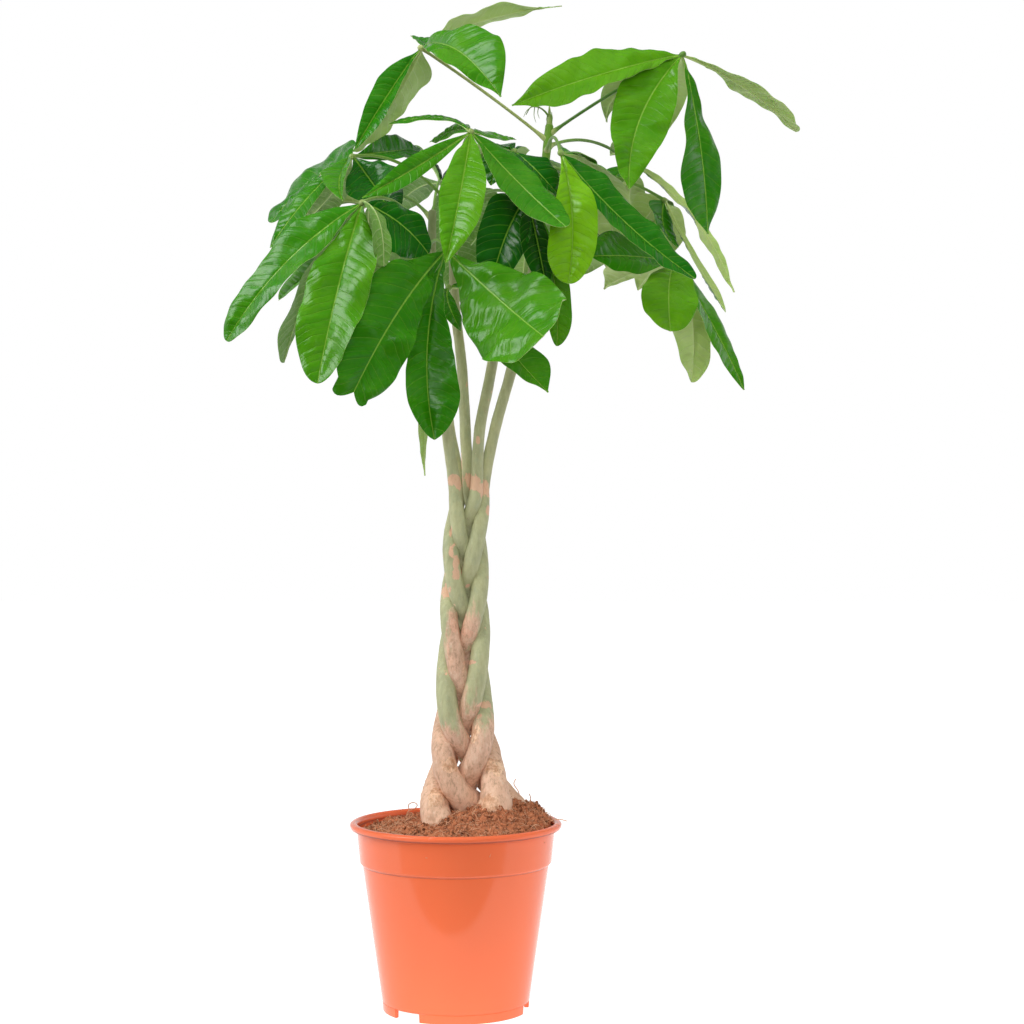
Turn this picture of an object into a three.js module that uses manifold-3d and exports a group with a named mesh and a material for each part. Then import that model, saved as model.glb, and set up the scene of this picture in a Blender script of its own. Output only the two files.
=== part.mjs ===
// A potted money tree: five braided stems in a nursery pot of soil, under a crown of palmate leaves.
// Millimetres, +Z up, standing on Z = 0. The front faces -Y.

import * as THREE from "three";
import { mergeVertices } from "three/addons/utils/BufferGeometryUtils.js";
import Module from "manifold-3d";

const wasm = await Module();
wasm.setup();
const { Manifold } = wasm;

// Pot
const POT_HEIGHT = 150;
const RIM_RADIUS = 85;
const BEAD_HEIGHT = 5.5;
const COLLAR_TOP_RADIUS = 79.5;
const COLLAR_LOW_RADIUS = 76.9;
const COLLAR_LOW_Z = 118;
const BODY_TOP_RADIUS = 74.8;
const BODY_TOP_Z = 116.4;
const FOOT_RADIUS = 58.8;
const FOOT_HEIGHT = 7.5;
const FOOT_WALL = 4;
const WALL = 1.6;
const FLOOR_Z = 9.5;
const POT_SEGMENTS = 40;
const SLOT_WIDTH = 25.8;
const SLOT_HEIGHT = 7;
const SLOT_AZIMUTHS = [-40.5, 79.5, 199.5];
const DRAIN_RADIUS = 5;
const DRAIN_CIRCLE = 34;
const DRAIN_COUNT = 5;

// Soil
const SOIL_LEVEL = 146;
const SOIL_SLOPE = 5 / 80;
const SOIL_RIM = 76;
const SOIL_RINGS = 7;
const SOIL_SEGMENTS = 24;

// What touches keeps this much air
const SEAT_GAP = 0.3;

// Eye point from which the places on the sight plane are seen
const EYE = new THREE.Vector3(45, -1853, 426);

// Leaves
const LEAF_THICKNESS = 0.9;
const LEAF_STATIONS = [0, 0.14, 0.36, 0.6, 0.84, 1];
const HUB_RADIUS = 2.6;
const PETIOLE_RADIUS = 1.5;
const PETIOLE_SIDES = 6;
const PETIOLE_STEPS = 4;

// Stems
const STEM_SIDES = 8;
const BRAID_TOP = 414;
const STEM_FOOT = 128;
const BRAID_STEP = 11;
const STEM_STEPS = 10;

// The middle of everything, moved to the origin at the end
const MIDDLE = new THREE.Vector2(54.5, 15.2);

// A place as seen: u across and w up on the upright plane through the pot's axis, pushed along the
// line of sight to the depth y.
function seen(u, w, y) {
  return new THREE.Vector3(u, 0, w).sub(EYE).multiplyScalar(1 - y / EYE.y).add(EYE);
}

// A value read from a rising list of [place, value] pairs, straight between them.
function between(pairs, place) {
  if (place <= pairs[0][0]) return pairs[0][1];
  for (let i = 1; i < pairs.length; i++) {
    const [p0, v0] = pairs[i - 1];
    const [p1, v1] = pairs[i];
    if (place <= p1) return v0 + ((v1 - v0) * (place - p0)) / (p1 - p0);
  }
  return pairs[pairs.length - 1][1];
}

function toSolid(geometry) {
  const bare = new THREE.BufferGeometry().setAttribute("position", geometry.getAttribute("position"));
  if (geometry.index) bare.setIndex(geometry.index);
  const merged = mergeVertices(bare, 1e-4);
  return new Manifold(
    new wasm.Mesh({
      numProp: 3,
      vertProperties: new Float32Array(merged.attributes.position.array),
      triVerts: new Uint32Array(merged.index.array),
    }),
  );
}

function toGeometry(solid) {
  const { vertProperties, triVerts } = solid.getMesh();
  return new THREE.BufferGeometry()
    .setAttribute("position", new THREE.BufferAttribute(vertProperties, 3))
    .setIndex(new THREE.BufferAttribute(triVerts, 1));
}

// A closed skin over rings of points that run along a shape. Each end is closed across its ring. The
// second half of each ring is split the other way, so the two sides of a twisted blade never cross.
function skin(rings) {
  const count = rings[0].length;
  const points = rings.flat();
  const faces = [];
  for (let r = 0; r + 1 < rings.length; r++) {
    for (let i = 0; i < count; i++) {
      const a = r * count + i;
      const b = r * count + ((i + 1) % count);
      if (i < count / 2) faces.push(a, b, b + count, a, b + count, a + count);
      else faces.push(a, b, a + count, b, b + count, a + count);
    }
  }
  const last = (rings.length - 1) * count;
  for (let i = 0; i < count / 2 - 1; i++) {
    const j = count - 1 - i;
    faces.push(i, j, j - 1, i, j - 1, i + 1);
    faces.push(last + i, last + i + 1, last + j - 1, last + i, last + j - 1, last + j);
  }
  return new THREE.BufferGeometry().setFromPoints(points).setIndex(faces);
}

// A round tube through points, with a radius for each of them.
function tube(points, radii, sides) {
  let across = new THREE.Vector3(1, 0, 0);
  const rings = points.map((point, k) => {
    const ahead = points[Math.min(k + 1, points.length - 1)];
    const behind = points[Math.max(k - 1, 0)];
    const along = ahead.clone().sub(behind).normalize();
    across = across.clone().addScaledVector(along, -across.dot(along)).normalize();
    const up = new THREE.Vector3().crossVectors(along, across);
    return Array.from({ length: sides }, (_, i) => {
      const angle = (2 * Math.PI * i) / sides;
      return point
        .clone()
        .addScaledVector(across, radii[k] * Math.cos(angle))
        .addScaledVector(up, radii[k] * Math.sin(angle));
    });
  });
  return skin(rings);
}

// Pot: a thin moulded shell with a rolled rim, a collar, a tapered body and a slotted foot ring.
function pot() {
  const profile = [
    [0, FLOOR_Z - 2],
    [FOOT_RADIUS - FOOT_WALL - 1, FLOOR_Z - 2],
    [FOOT_RADIUS - FOOT_WALL, FLOOR_Z - 3],
    [FOOT_RADIUS - FOOT_WALL, 0],
    [FOOT_RADIUS - 0.6, 0],
    [FOOT_RADIUS, 0.8],
    [FOOT_RADIUS + 0.2, FOOT_HEIGHT],
    [BODY_TOP_RADIUS, BODY_TOP_Z],
    [COLLAR_LOW_RADIUS, COLLAR_LOW_Z],
    [COLLAR_TOP_RADIUS, POT_HEIGHT - BEAD_HEIGHT],
    [RIM_RADIUS - 1.2, POT_HEIGHT - BEAD_HEIGHT],
    [RIM_RADIUS, POT_HEIGHT - BEAD_HEIGHT + 1.4],
    [RIM_RADIUS - 0.4, POT_HEIGHT - 1.4],
    [RIM_RADIUS - 2.2, POT_HEIGHT],
    [COLLAR_TOP_RADIUS, POT_HEIGHT],
    [COLLAR_TOP_RADIUS - 1, POT_HEIGHT - 1],
    [COLLAR_LOW_RADIUS - WALL, COLLAR_LOW_Z],
    [BODY_TOP_RADIUS - WALL, BODY_TOP_Z - 1],
    [FOOT_RADIUS - WALL, FLOOR_Z],
    [0, FLOOR_Z],
  ];
  const outline = profile.map(([r, z]) => new THREE.Vector2(r, z));
  const shell = new THREE.LatheGeometry(outline, POT_SEGMENTS).rotateX(Math.PI / 2);
  let solid = toSolid(shell);
  for (const azimuth of SLOT_AZIMUTHS) {
    const slot = new THREE.BoxGeometry(SLOT_WIDTH, 4 * FOOT_WALL, 2 * SLOT_HEIGHT);
    slot.translate(0, -FOOT_RADIUS, 0).rotateZ(THREE.MathUtils.degToRad(azimuth));
    solid = solid.subtract(toSolid(slot));
  }
  for (let i = 0; i < DRAIN_COUNT; i++) {
    const angle = (2 * Math.PI * (i + 0.5)) / DRAIN_COUNT;
    const drain = new THREE.CylinderGeometry(DRAIN_RADIUS, DRAIN_RADIUS, 4 * WALL, 12);
    drain.rotateX(Math.PI / 2);
    drain.translate(DRAIN_CIRCLE * Math.cos(angle), DRAIN_CIRCLE * Math.sin(angle), FLOOR_Z);
    solid = solid.subtract(toSolid(drain));
  }
  return solid;
}

// Heaps of soil against the stems: each a place, a height and how far it spreads.
const HEAPS = [
  [48, 18, 15, 38],
  [26, -32, 9.5, 28],
  [-22, -10, 6, 28],
];

function soilTop(x, y) {
  const edge = 1 - (Math.hypot(x, y) / SOIL_RIM) ** 6;
  let heap = 0;
  for (const [across, away, height, spread] of HEAPS) {
    const distance = Math.hypot(x - across, y - away);
    heap += height * Math.exp((-distance * distance) / (2 * spread * spread));
  }
  const lumps = 1.3 * Math.sin(0.16 * x + 1) * Math.sin(0.19 * y + 2);
  return SOIL_LEVEL + SOIL_SLOPE * x + heap * Math.max(edge, 0) + lumps;
}

// Soil: fills the pot from its floor to an uneven top that is heaped beside the stems.
function soil(stemSolids) {
  const inner = (z) => {
    const walls = [
      [FLOOR_Z, FOOT_RADIUS - WALL],
      [BODY_TOP_Z - 1, BODY_TOP_RADIUS - WALL],
      [COLLAR_LOW_Z, COLLAR_LOW_RADIUS - WALL],
      [POT_HEIGHT - 1, COLLAR_TOP_RADIUS - 1],
    ];
    return between(walls, z) - 2 * SEAT_GAP;
  };
  const floorZ = FLOOR_Z + SEAT_GAP;
  const steps = [
    [0, floorZ],
    [inner(floorZ), floorZ],
    [inner(BODY_TOP_Z - 1), BODY_TOP_Z - 1],
    [inner(COLLAR_LOW_Z), COLLAR_LOW_Z],
  ];
  const rim = inner(SOIL_LEVEL - 6);
  for (let i = SOIL_RINGS; i >= 0; i--) steps.push([(rim * i) / SOIL_RINGS, SOIL_LEVEL]);
  const outline = steps.map(([r, z]) => new THREE.Vector2(r, z));
  const body = new THREE.LatheGeometry(outline, SOIL_SEGMENTS).rotateX(Math.PI / 2);
  const place = body.attributes.position;
  for (let i = 0; i < place.count; i++) {
    if (Math.abs(place.getZ(i) - SOIL_LEVEL) > 0.01) continue;
    place.setZ(i, soilTop(place.getX(i), place.getY(i)));
  }
  let solid = toSolid(body);
  for (const stem of stemSolids) solid = solid.subtract(stem);
  return solid;
}

// Braid: how far each strand has turned round it, its half width, its middle and the strands' radius,
// each by height. Its half depth goes with the strands' radius, and the crossings are flattened.
const DEPTH_RATIO = 1.7;
const FLATNESS = 1.6;
const BRAID_TURN = [
  [118, 360],
  [140, 324],
  [163, 288],
  [185, 252],
  [208, 216],
  [228, 180],
  [254, 144],
  [288, 108],
  [316, 72],
  [338, 36],
  [365, 0],
  [389, -36],
  [414, -72],
];
const BRAID_HALF_WIDTH = [
  [128, 38],
  [155, 34],
  [167, 30],
  [183, 23],
  [215, 18.4],
  [247, 15.2],
  [311, 14],
  [375, 12.4],
  [414, 12],
];
const BRAID_MIDDLE = [
  [128, 14],
  [155, 14],
  [167, 12],
  [183, 8.5],
  [247, 6],
  [343, 7.5],
  [375, 7.5],
  [407, 10.4],
];
const STRAND_RADIUS = [
  [128, 14],
  [150, 12.6],
  [167, 10.6],
  [199, 8.6],
  [247, 7.6],
  [311, 6.3],
  [375, 5.7],
  [407, 4.9],
  [470, 4.7],
];

// Stems: where each stands in the braid, and the way it takes above it, as seen.
const STEMS = {
  a: { start: 270, tip: 3.6, free: [[-7, 463, -13], [-13, 544, -32], [-24, 610, -46], [-29, 632, -50]] },
  b: { start: 198, tip: 3.4, free: [[-5, 464, 20], [-13, 528, 40], [-19, 600, 60], [-19, 638, 70]] },
  c: { start: 126, tip: 3.6, free: [[19, 463, -14], [28, 510, -18], [38, 568, -20], [49, 650, -15]] },
  d: { start: 54, tip: 3.4, free: [[31, 463, 10], [44, 510, 14], [58, 568, 18], [71, 672, 22], [75, 707, 25]] },
  x: { start: 342, tip: 3.4, free: [[8, 456, 5], [5, 512, 9], [-1, 568, 6], [-3, 655, 0]] },
};

// A strand's centre in the braid. Seen from above it runs round a figure of eight.
function braidPoint(start, z) {
  const angle = THREE.MathUtils.degToRad(start + between(BRAID_TURN, z));
  const front = Math.tanh(FLATNESS * Math.sin(2 * angle)) / Math.tanh(FLATNESS);
  return new THREE.Vector3(
    between(BRAID_MIDDLE, z) + between(BRAID_HALF_WIDTH, z) * Math.cos(angle),
    -DEPTH_RATIO * between(STRAND_RADIUS, z) * front,
    z,
  );
}

function stemPath({ start, tip, free }) {
  const braid = [];
  const count = Math.round((BRAID_TOP - STEM_FOOT) / BRAID_STEP);
  for (let i = 0; i <= count; i++) {
    braid.push(braidPoint(start, STEM_FOOT + ((BRAID_TOP - STEM_FOOT) * i) / count));
  }
  const above = [braid[count - 1], braid[count], ...free.map((place) => seen(...place))];
  const curve = new THREE.CatmullRomCurve3(above, false, "centripetal");
  const upper = curve.getPoints(8 * STEM_STEPS).filter((p, i) => i % 8 === 0 && p.z > BRAID_TOP + 4);
  const end = curve.getPoint(1);
  const points = [...braid, ...upper];
  if (end.distanceTo(points[points.length - 1]) > 1) points.push(end);
  const top = points[points.length - 1];
  const radii = points.map((p) => {
    const grown = between(STRAND_RADIUS, p.z);
    return p.z > BRAID_TOP ? grown + ((tip - grown) * (p.z - BRAID_TOP)) / (top.z - BRAID_TOP) : grown;
  });
  points.push(top.clone().add(new THREE.Vector3(0, 0, tip * 0.7)));
  radii.push(tip * 0.55);
  return { points, radii };
}

function stemAt({ points }, z) {
  const k = Math.max(points.findIndex((p) => p.z >= z), 1);
  const low = points[k - 1];
  const high = points[k];
  return low.clone().lerp(high, (z - low.z) / (high.z - low.z));
}

// Leaflet: how wide it is along its midrib, from a wedge at the hub to its tip, as a part of its width.
function bladeWidth(t, peak, blunt) {
  if (t < peak) return Math.sin((Math.PI / 2) * (t / peak)) ** 1.2;
  return Math.sin((Math.PI / 2) * ((1 - t) / (1 - peak))) ** blunt;
}

// A leaflet: the tip as seen, its width, how far the midrib arches towards the upper side, and then its
// shape: how far it is turned about its midrib at the hub and at the tip in degrees, how far it sways to
// its right, the rise of its two halves in degrees, how blunt the tip is (small is blunt), where it is
// widest, how much wider its right half is and how much nearer to the tip that half is widest.
function leaflet(u, w, y, width, arch, turn = 0, turnTip = turn, ...shape) {
  const [sway = 0, fold = 16, blunt = 0.8, peak = 0.56, uneven = 0, skew = 0] = shape;
  return { tip: [u, w, y], width, arch, turn, turnTip, sway, fold, blunt, peak, uneven, skew };
}

function leafletSolid(hub, face, blade) {
  const { tip, width, arch, turn, turnTip, sway, fold, blunt, peak, uneven, skew } = blade;
  const end = seen(...tip);
  const chord = end.clone().sub(hub);
  const along = chord.clone().normalize();
  const rise = face.clone().addScaledVector(along, -face.dot(along)).normalize();
  const right = new THREE.Vector3().crossVectors(along, rise);
  const middle = hub.clone().addScaledVector(chord, 0.5);
  middle.addScaledVector(rise, 2 * arch).addScaledVector(right, 2 * sway);
  const midrib = new THREE.QuadraticBezierCurve3(hub, middle, end);
  const rings = LEAF_STATIONS.map((t) => {
    const point = midrib.getPoint(t);
    const ahead = midrib.getTangent(t);
    const normal = face.clone().addScaledVector(ahead, -face.dot(ahead)).normalize();
    normal.applyAxisAngle(ahead, THREE.MathUtils.degToRad(turn + (turnTip - turn) * t));
    const side = new THREE.Vector3().crossVectors(ahead, normal);
    const lean = THREE.MathUtils.degToRad(fold);
    const under = normal.clone().multiplyScalar(-LEAF_THICKNESS);
    const edge = (sign) => {
      const part = (1 + sign * uneven) * bladeWidth(t, peak + sign * skew, blunt);
      const half = Math.max((width / 2) * part, 1);
      return point
        .clone()
        .addScaledVector(side, sign * half * Math.cos(lean))
        .addScaledVector(normal, half * Math.sin(lean));
    };
    const upper = [edge(-1), point, edge(1)];
    return [...upper, ...upper.map((p) => p.clone().add(under)).reverse()];
  });
  return toSolid(skin(rings));
}

// A leaf: the stem that carries it and the height of its node there, its hub as seen, the way its upper
// side faces, how far its petiole bows up, and its leaflets.
const LEAVES = {
  leaf_top_left: {
    stem: "d", node: 699, hub: [-28, 770, 5], face: [-0.35, -0.25, 1], bow: 2,
    leaflets: [
      leaflet(85, 804, 44, 44, 7, -22, -18, -19, 10, 1.15, 0.46, 0.08, -0.15),
      leaflet(36, 731, -89, 49, 19, 23, -1, 0, 19, 1.02, 0.62, -0.16, -0.04),
      leaflet(-36, 780, 71, 32, -5, 31, 22, 7, 20, 1.08, 0.58, 0.3, 0),
      leaflet(-82, 687, -49, 28, 2, -14, -44, 0, 32, 1.13, 0.55, 0.02, -0.13),
      leaflet(-81, 687, 27, 58, -4, 28, 23, 3, 4, 0.5, 0.42, 0.22, -0.11),
    ],
  },
  leaf_top_right: {
    stem: "d", node: 704, hub: [182, 765, 10], face: [0.2, -0.25, 1], bow: 3,
    leaflets: [
      leaflet(45, 724, -23, 50, 4, -27, -31, -2, 14, 1.06, 0.59, 0.01, -0.12),
      leaflet(139, 657, -62, 52, 0, -4, -6, 13, 14, 0.8, 0.4, 0, -0.07),
      leaflet(202, 621, -23, 44, -1, -11, -10, -6, 8, 1.12, 0.7, 0.18, 0.1),
      leaflet(273, 703, 43, 44, 6, -15, -11, 3, 6, 0.43, 0.6, 0.05, 0.12),
      leaflet(121, 711, 95, 25, 1, 4, 23, -19, 0, 1.08, 0.34, -0.13, -0.14),
      leaflet(157, 690, 118, 36, 12),
    ],
  },
  leaf_upper_left: {
    stem: "x", node: 642, hub: [-83, 683, -25], face: [-0.5, -0.2, 1], bow: 14,
    leaflets: [
      leaflet(-148, 630, -3, 56, 7, -18, -9, 14, 4, 0.43, 0.33, 0.24, -0.13),
      leaflet(-149, 610, -68, 29, 5, -22, -20, -3, 4, 0.79, 0.72, -0.01, -0.14),
      leaflet(-91, 648, -111, 24, 3, -6, -7, 5, 28, 0.99, 0.37, 0.29, 0.02),
      leaflet(-28, 689, 57, 33, 0, 78, 39, 3, 22, 0.85, 0.61, -0.03, -0.14),
      leaflet(-57, 646, -82, 53, -6, -9, 7, -2, 25, 0.71, 0.74, -0.03, -0.09),
      leaflet(-127, 627, 72, 26, -5, 52, 40, 1, 20, 0.95, 0.65, 0.23, -0.04),
    ],
  },
  leaf_upper_front: {
    stem: "x", node: 650, hub: [12, 703, -80], face: [0, -0.5, 1], bow: 10,
    leaflets: [
      leaflet(-75, 650, -125, 19, 2, -36, -40, -6, 14, 0.97, 0.63, -0.02, -0.12),
      leaflet(-8, 598, -163, 37, 10, 5, -6, -3, 21, 0.83, 0.61, -0.17, -0.03),
      leaflet(88, 627, -134, 38, -9, 3, 1, -7, 5, 0.41, 0.4, 0.03, 0.14),
      leaflet(-21, 695, -14, 23, 4, -23, -26, 5, 2, 1.12, 0.68, 0.04, 0.01),
      leaflet(-54, 709, -40, 23, 4, 18, 1, 16, 0, 0.91, 0.75, 0.05, 0.1),
      leaflet(48, 697, -18, 20, 0, 14, 14, 0, 2, 1.02, 0.42, -0.11, -0.01),
    ],
  },
  leaf_small_centre: {
    stem: "c", node: 645, hub: [47, 687, -41], face: [0.1, -0.4, 1], bow: 4,
    leaflets: [
      leaflet(84, 649, -54, 34, 4, -6, 17, 3, 13, 0.89, 0.4, -0.04, 0),
      leaflet(20, 686, 30, 28, 4),
      leaflet(28, 660, -60, 28, 8),
      leaflet(42, 672, 40, 30, 8),
    ],
  },
  leaf_front_left: {
    stem: "a", node: 619, hub: [-75, 646, -115], face: [-0.35, -0.6, 1], bow: 12,
    leaflets: [
      leaflet(-184, 535, -121, 43, 10, -19, -13, 1, 14, 0.43, 0.38, -0.03, -0.06),
      leaflet(-111, 501, -167, 54, 5, -14, -17, -1, 16, 0.47, 0.5, -0.05, 0.09),
      leaflet(-58, 595, -141, 29, 14, 130, 89, -7, 2, 0.45, 0.42, 0.03, -0.14),
      leaflet(-22, 605, -102, 52, 4, 10, 12, -3, 9, 0.66, 0.51, 0.26, 0.02),
      leaflet(-138, 518, -62, 37, 9, 39, 22, -3, 9, 0.52, 0.55, -0.12, -0.15),
      leaflet(-142, 568, -27, 20, -4, -66, -31, 0, 37, 0.47, 0.74, -0.13, 0.11),
    ],
  },
  leaf_front: {
    stem: "a", node: 603, hub: [-8, 608, -98], face: [0, -0.7, 1], bow: 8,
    leaflets: [
      leaflet(-86, 485, -160, 56, 12, -39, -35, -1, 9, 0.4, 0.62, 0.15, -0.15),
      leaflet(-17, 456, -132, 44, -4, 13, 8, 10, 23, 0.6, 0.75, -0.23, -0.01),
      leaflet(70, 539, -198, 76, -9, 32, 39, -6, 1, 0.4, 0.74, 0.07, 0),
      leaflet(74, 494, -115, 39, -9, -11, -2, 0, 12, 1.1, 0.73, -0.03, -0.09),
    ],
  },
  leaf_front_low: {
    stem: "a", node: 578, hub: [-6, 578, -62], face: [0.1, -0.6, 1], bow: 6,
    leaflets: [
      leaflet(-25, 427, -56, 27, -14, 87, 120, 8, 14, 1.06, 0.61, 0.03, 0.12),
      leaflet(4, 543, -95, 19, 7, -18, -18, 6, 2, 0.79, 0.7, 0.09, -0.02),
      leaflet(-52, 520, -70, 34, 10),
      leaflet(30, 560, -45, 28, 8),
    ],
  },
  leaf_centre: {
    stem: "c", node: 634, hub: [57, 652, -68], face: [0.1, -0.6, 1], bow: 4,
    leaflets: [
      leaflet(29, 583, -80, 45, 11, -16, -14, -1, 24, 0.43, 0.45, 0.06, -0.11),
      leaflet(81, 531, -70, 25, 6, 5, 1, -6, 14, 0.55, 0.64, 0.05, -0.15),
      leaflet(122, 606, -24, 34, 6),
      leaflet(72, 581, -99, 26, 4, -5, 6, 1, 23, 0.41, 0.61, 0.25, 0.01),
    ],
  },
  leaf_right_front: {
    stem: "d", node: 690, hub: [84, 686, -80], face: [0.2, -0.5, 1], bow: 12,
    leaflets: [
      leaflet(192, 585, -95, 40, -7, 12, 6, -3, 15, 0.42, 0.34, 0.03, 0.08),
      leaflet(90, 581, -115, 41, 4, 5, 6, -5, 20, 0.41, 0.66, 0.01, 0.11),
      leaflet(102, 660, -5, 30, 10),
      leaflet(138, 632, 2, 30, 12),
    ],
  },
  leaf_right_low: {
    stem: "d", node: 678, hub: [176, 598, -15], face: [0.35, -0.35, 1], bow: 16,
    leaflets: [
      leaflet(108, 603, -67, 49, 3, 1, -36, -1, 10, 0.91, 0.62, 0.04, 0.05),
      leaflet(119, 577, 53, 32, 2, -6, 37, -7, 1, 1.15, 0.33, -0.34, -0.14),
      leaflet(172, 543, -92, 45, 8, 17, 9, 6, 11, 0.4, 0.73, 0, 0.05),
      leaflet(189, 502, 29, 42, 9, -53, -52, -4, 15, 0.46, 0.62, -0.3, 0.15),
      leaflet(231, 496, -28, 33, -1, -2, 9, -9, 10, 0.71, 0.35, 0.12, 0.14),
      leaflet(146, 576, 72, 36, 12),
    ],
  },
  leaf_right_mid: {
    stem: "d", node: 668, hub: [167, 648, 60], face: [0.4, 0.1, 1], bow: 12,
    leaflets: [
      leaflet(216, 558, 42, 21, -2, 205, 204, 5, -12, 0.65, 0.7, -0.15, 0.15),
      leaflet(178, 610, 35, 29, -6, 1, 18, 2, 13, 0.64, 0.34, 0.23, -0.12),
      leaflet(146, 622, 120, 36, 10),
      leaflet(163, 596, 132, 34, 12),
    ],
  },
  leaf_right_back: {
    stem: "d", node: 694, hub: [141, 677, 105], face: [0.3, 0.4, 1], bow: 12,
    leaflets: [
      leaflet(223, 574, 103, 36, 22, 231, 233, -13, -14, 1.14, 0.42, -0.34, -0.13),
      leaflet(116, 646, 66, 32, 5),
      leaflet(124, 684, 178, 22, 8),
      leaflet(132, 602, 186, 32, 12),
      leaflet(118, 600, 204, 38, 12),
    ],
  },
  leaf_back_left: {
    stem: "b", node: 640, hub: [-70, 645, 122], face: [-0.4, 0.4, 1], bow: 14,
    leaflets: [
      leaflet(-113, 574, 158, 42, 14),
      leaflet(-58, 524, 172, 44, 14),
      leaflet(-14, 566, 178, 42, 14),
      leaflet(-102, 662, 196, 36, 12),
      leaflet(-46, 640, 40, 34, 10),
      leaflet(-128, 628, 116, 36, 12),
    ],
  },
  leaf_back: {
    stem: "b", node: 632, hub: [-12, 662, 152], face: [0, 0.5, 1], bow: 14,
    leaflets: [
      leaflet(-58, 628, 226, 40, 14),
      leaflet(4, 566, 222, 46, 14),
      leaflet(42, 610, 218, 42, 14),
      leaflet(34, 680, 200, 34, 10),
      leaflet(-48, 684, 186, 34, 10),
    ],
  },
  leaf_back_centre: {
    stem: "x", node: 632, hub: [58, 644, 128], face: [0.2, 0.5, 1], bow: 18,
    leaflets: [
      leaflet(98, 598, 196, 42, 14),
      leaflet(50, 560, 178, 44, 14),
      leaflet(112, 636, 176, 36, 12),
      leaflet(12, 612, 176, 38, 12),
    ],
  },
  leaf_back_right: {
    stem: "d", node: 644, hub: [118, 606, 92], face: [0.4, 0.3, 1], bow: 22,
    leaflets: [
      leaflet(168, 556, 128, 40, 12),
      leaflet(122, 592, 168, 38, 12),
      leaflet(92, 584, 150, 36, 12),
      leaflet(152, 590, 168, 32, 10),
    ],
  },
  leaf_top_back: {
    stem: "d", node: 686, hub: [92, 672, 142], face: [0.1, 0.5, 1], bow: 16,
    leaflets: [
      leaflet(62, 646, 222, 40, 14),
      leaflet(116, 618, 228, 42, 14),
      leaflet(72, 600, 206, 36, 12),
      leaflet(92, 636, 84, 32, 5),
    ],
  },
  leaf_left_low: {
    stem: "b", node: 612, hub: [-88, 598, 38], face: [-0.5, 0.1, 1], bow: 20,
    leaflets: [
      leaflet(-112, 530, 6, 40, 12),
      leaflet(-74, 502, 24, 42, 3),
      leaflet(-128, 600, 88, 36, 12),
      leaflet(-58, 540, 78, 38, 9),
    ],
  },
};

function leafSolid({ node, hub, face, bow, leaflets }, path, stemSolids) {
  const base = stemAt(path, node);
  const centre = seen(...hub);
  const upper = new THREE.Vector3(...face).normalize();
  const middle = base.clone().lerp(centre, 0.5);
  middle.z += 2 * bow;
  const petiole = new THREE.QuadraticBezierCurve3(base, middle, centre).getPoints(PETIOLE_STEPS);
  const radii = petiole.map((_, i) => (i < 2 ? PETIOLE_RADIUS * (1.5 - 0.25 * i) : PETIOLE_RADIUS));
  const knob = new THREE.IcosahedronGeometry(HUB_RADIUS, 0).translate(centre.x, centre.y, centre.z);
  const parts = [toSolid(tube(petiole, radii, PETIOLE_SIDES)), toSolid(knob)];
  for (const blade of leaflets) parts.push(leafletSolid(centre, upper, blade));
  let solid = Manifold.union(parts);
  for (const stem of stemSolids) solid = solid.subtract(stem);
  const pieces = solid.decompose();
  return pieces.reduce((most, piece) => (piece.volume() > most.volume() ? piece : most));
}

// Bud: the pointed growing tip of the tallest stem, with a first thin leaf that bends over beside it.
function bud(path, stemSolids) {
  const foot = path.points[path.points.length - 1];
  const outline = [
    [0, -2],
    [2.6, -1],
    [2.4, 2],
    [1.5, 6],
    [1.1, 11],
    [0, 14],
  ].map(([r, z]) => new THREE.Vector2(r, z));
  const spindle = new THREE.LatheGeometry(outline, 10).rotateX(Math.PI / 2);
  spindle.translate(foot.x, foot.y, foot.z);
  const way = [[0, 0, 5], [-4, -2, 10], [-9, -3, 13], [-15, -3, 13], [-19, -3, 7]];
  const points = way.map(([x, y, z]) => foot.clone().add(new THREE.Vector3(x, y, z)));
  const shoot = tube(new THREE.CatmullRomCurve3(points).getPoints(8), Array(9).fill(0.8), 6);
  let solid = Manifold.union([toSolid(spindle), toSolid(shoot)]);
  for (const stem of stemSolids) solid = solid.subtract(stem);
  return solid;
}

const FINISH = {
  pot: { color: 0xe0673a, roughness: 0.3 },
  soil: { color: 0x5e3d2a, roughness: 0.95 },
  stem: { color: 0x8f9a6b, roughness: 0.7 },
  leaf: { color: 0x2f7d1c, roughness: 0.35 },
};

const plant = new THREE.Group();
plant.position.set(-MIDDLE.x, -MIDDLE.y, 0);

function put(name, solid, finish) {
  const material = new THREE.MeshStandardMaterial({ ...FINISH[finish], metalness: 0 });
  const mesh = new THREE.Mesh(toGeometry(solid), material);
  mesh.name = name;
  plant.add(mesh);
}

const paths = {};
const stems = {};
const seats = [];
for (const [key, stem] of Object.entries(STEMS)) {
  const path = stemPath(stem);
  paths[key] = path;
  stems[key] = seats.reduce(
    (solid, seat) => solid.subtract(seat),
    toSolid(tube(path.points, path.radii, STEM_SIDES)),
  );
  const loose = path.radii.map((r) => r + SEAT_GAP);
  const ends = path.points.map((p) => p.clone());
  const last = ends.length - 1;
  ends[0].addScaledVector(path.points[1].clone().sub(path.points[0]).normalize(), -SEAT_GAP);
  ends[last].addScaledVector(path.points[last - 1].clone().sub(path.points[last]).normalize(), -SEAT_GAP);
  seats.push(toSolid(tube(ends, loose, STEM_SIDES)));
}

put("pot", pot(), "pot");
put("soil", soil(seats), "soil");
for (const [key, solid] of Object.entries(stems)) put("stem_" + key, solid, "stem");
put("bud", bud(paths.d, seats), "leaf");
for (const [name, leaf] of Object.entries(LEAVES)) {
  put(name, leafSolid(leaf, paths[leaf.stem], seats), "leaf");
}

plant.updateMatrixWorld(true);

export default plant;
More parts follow.
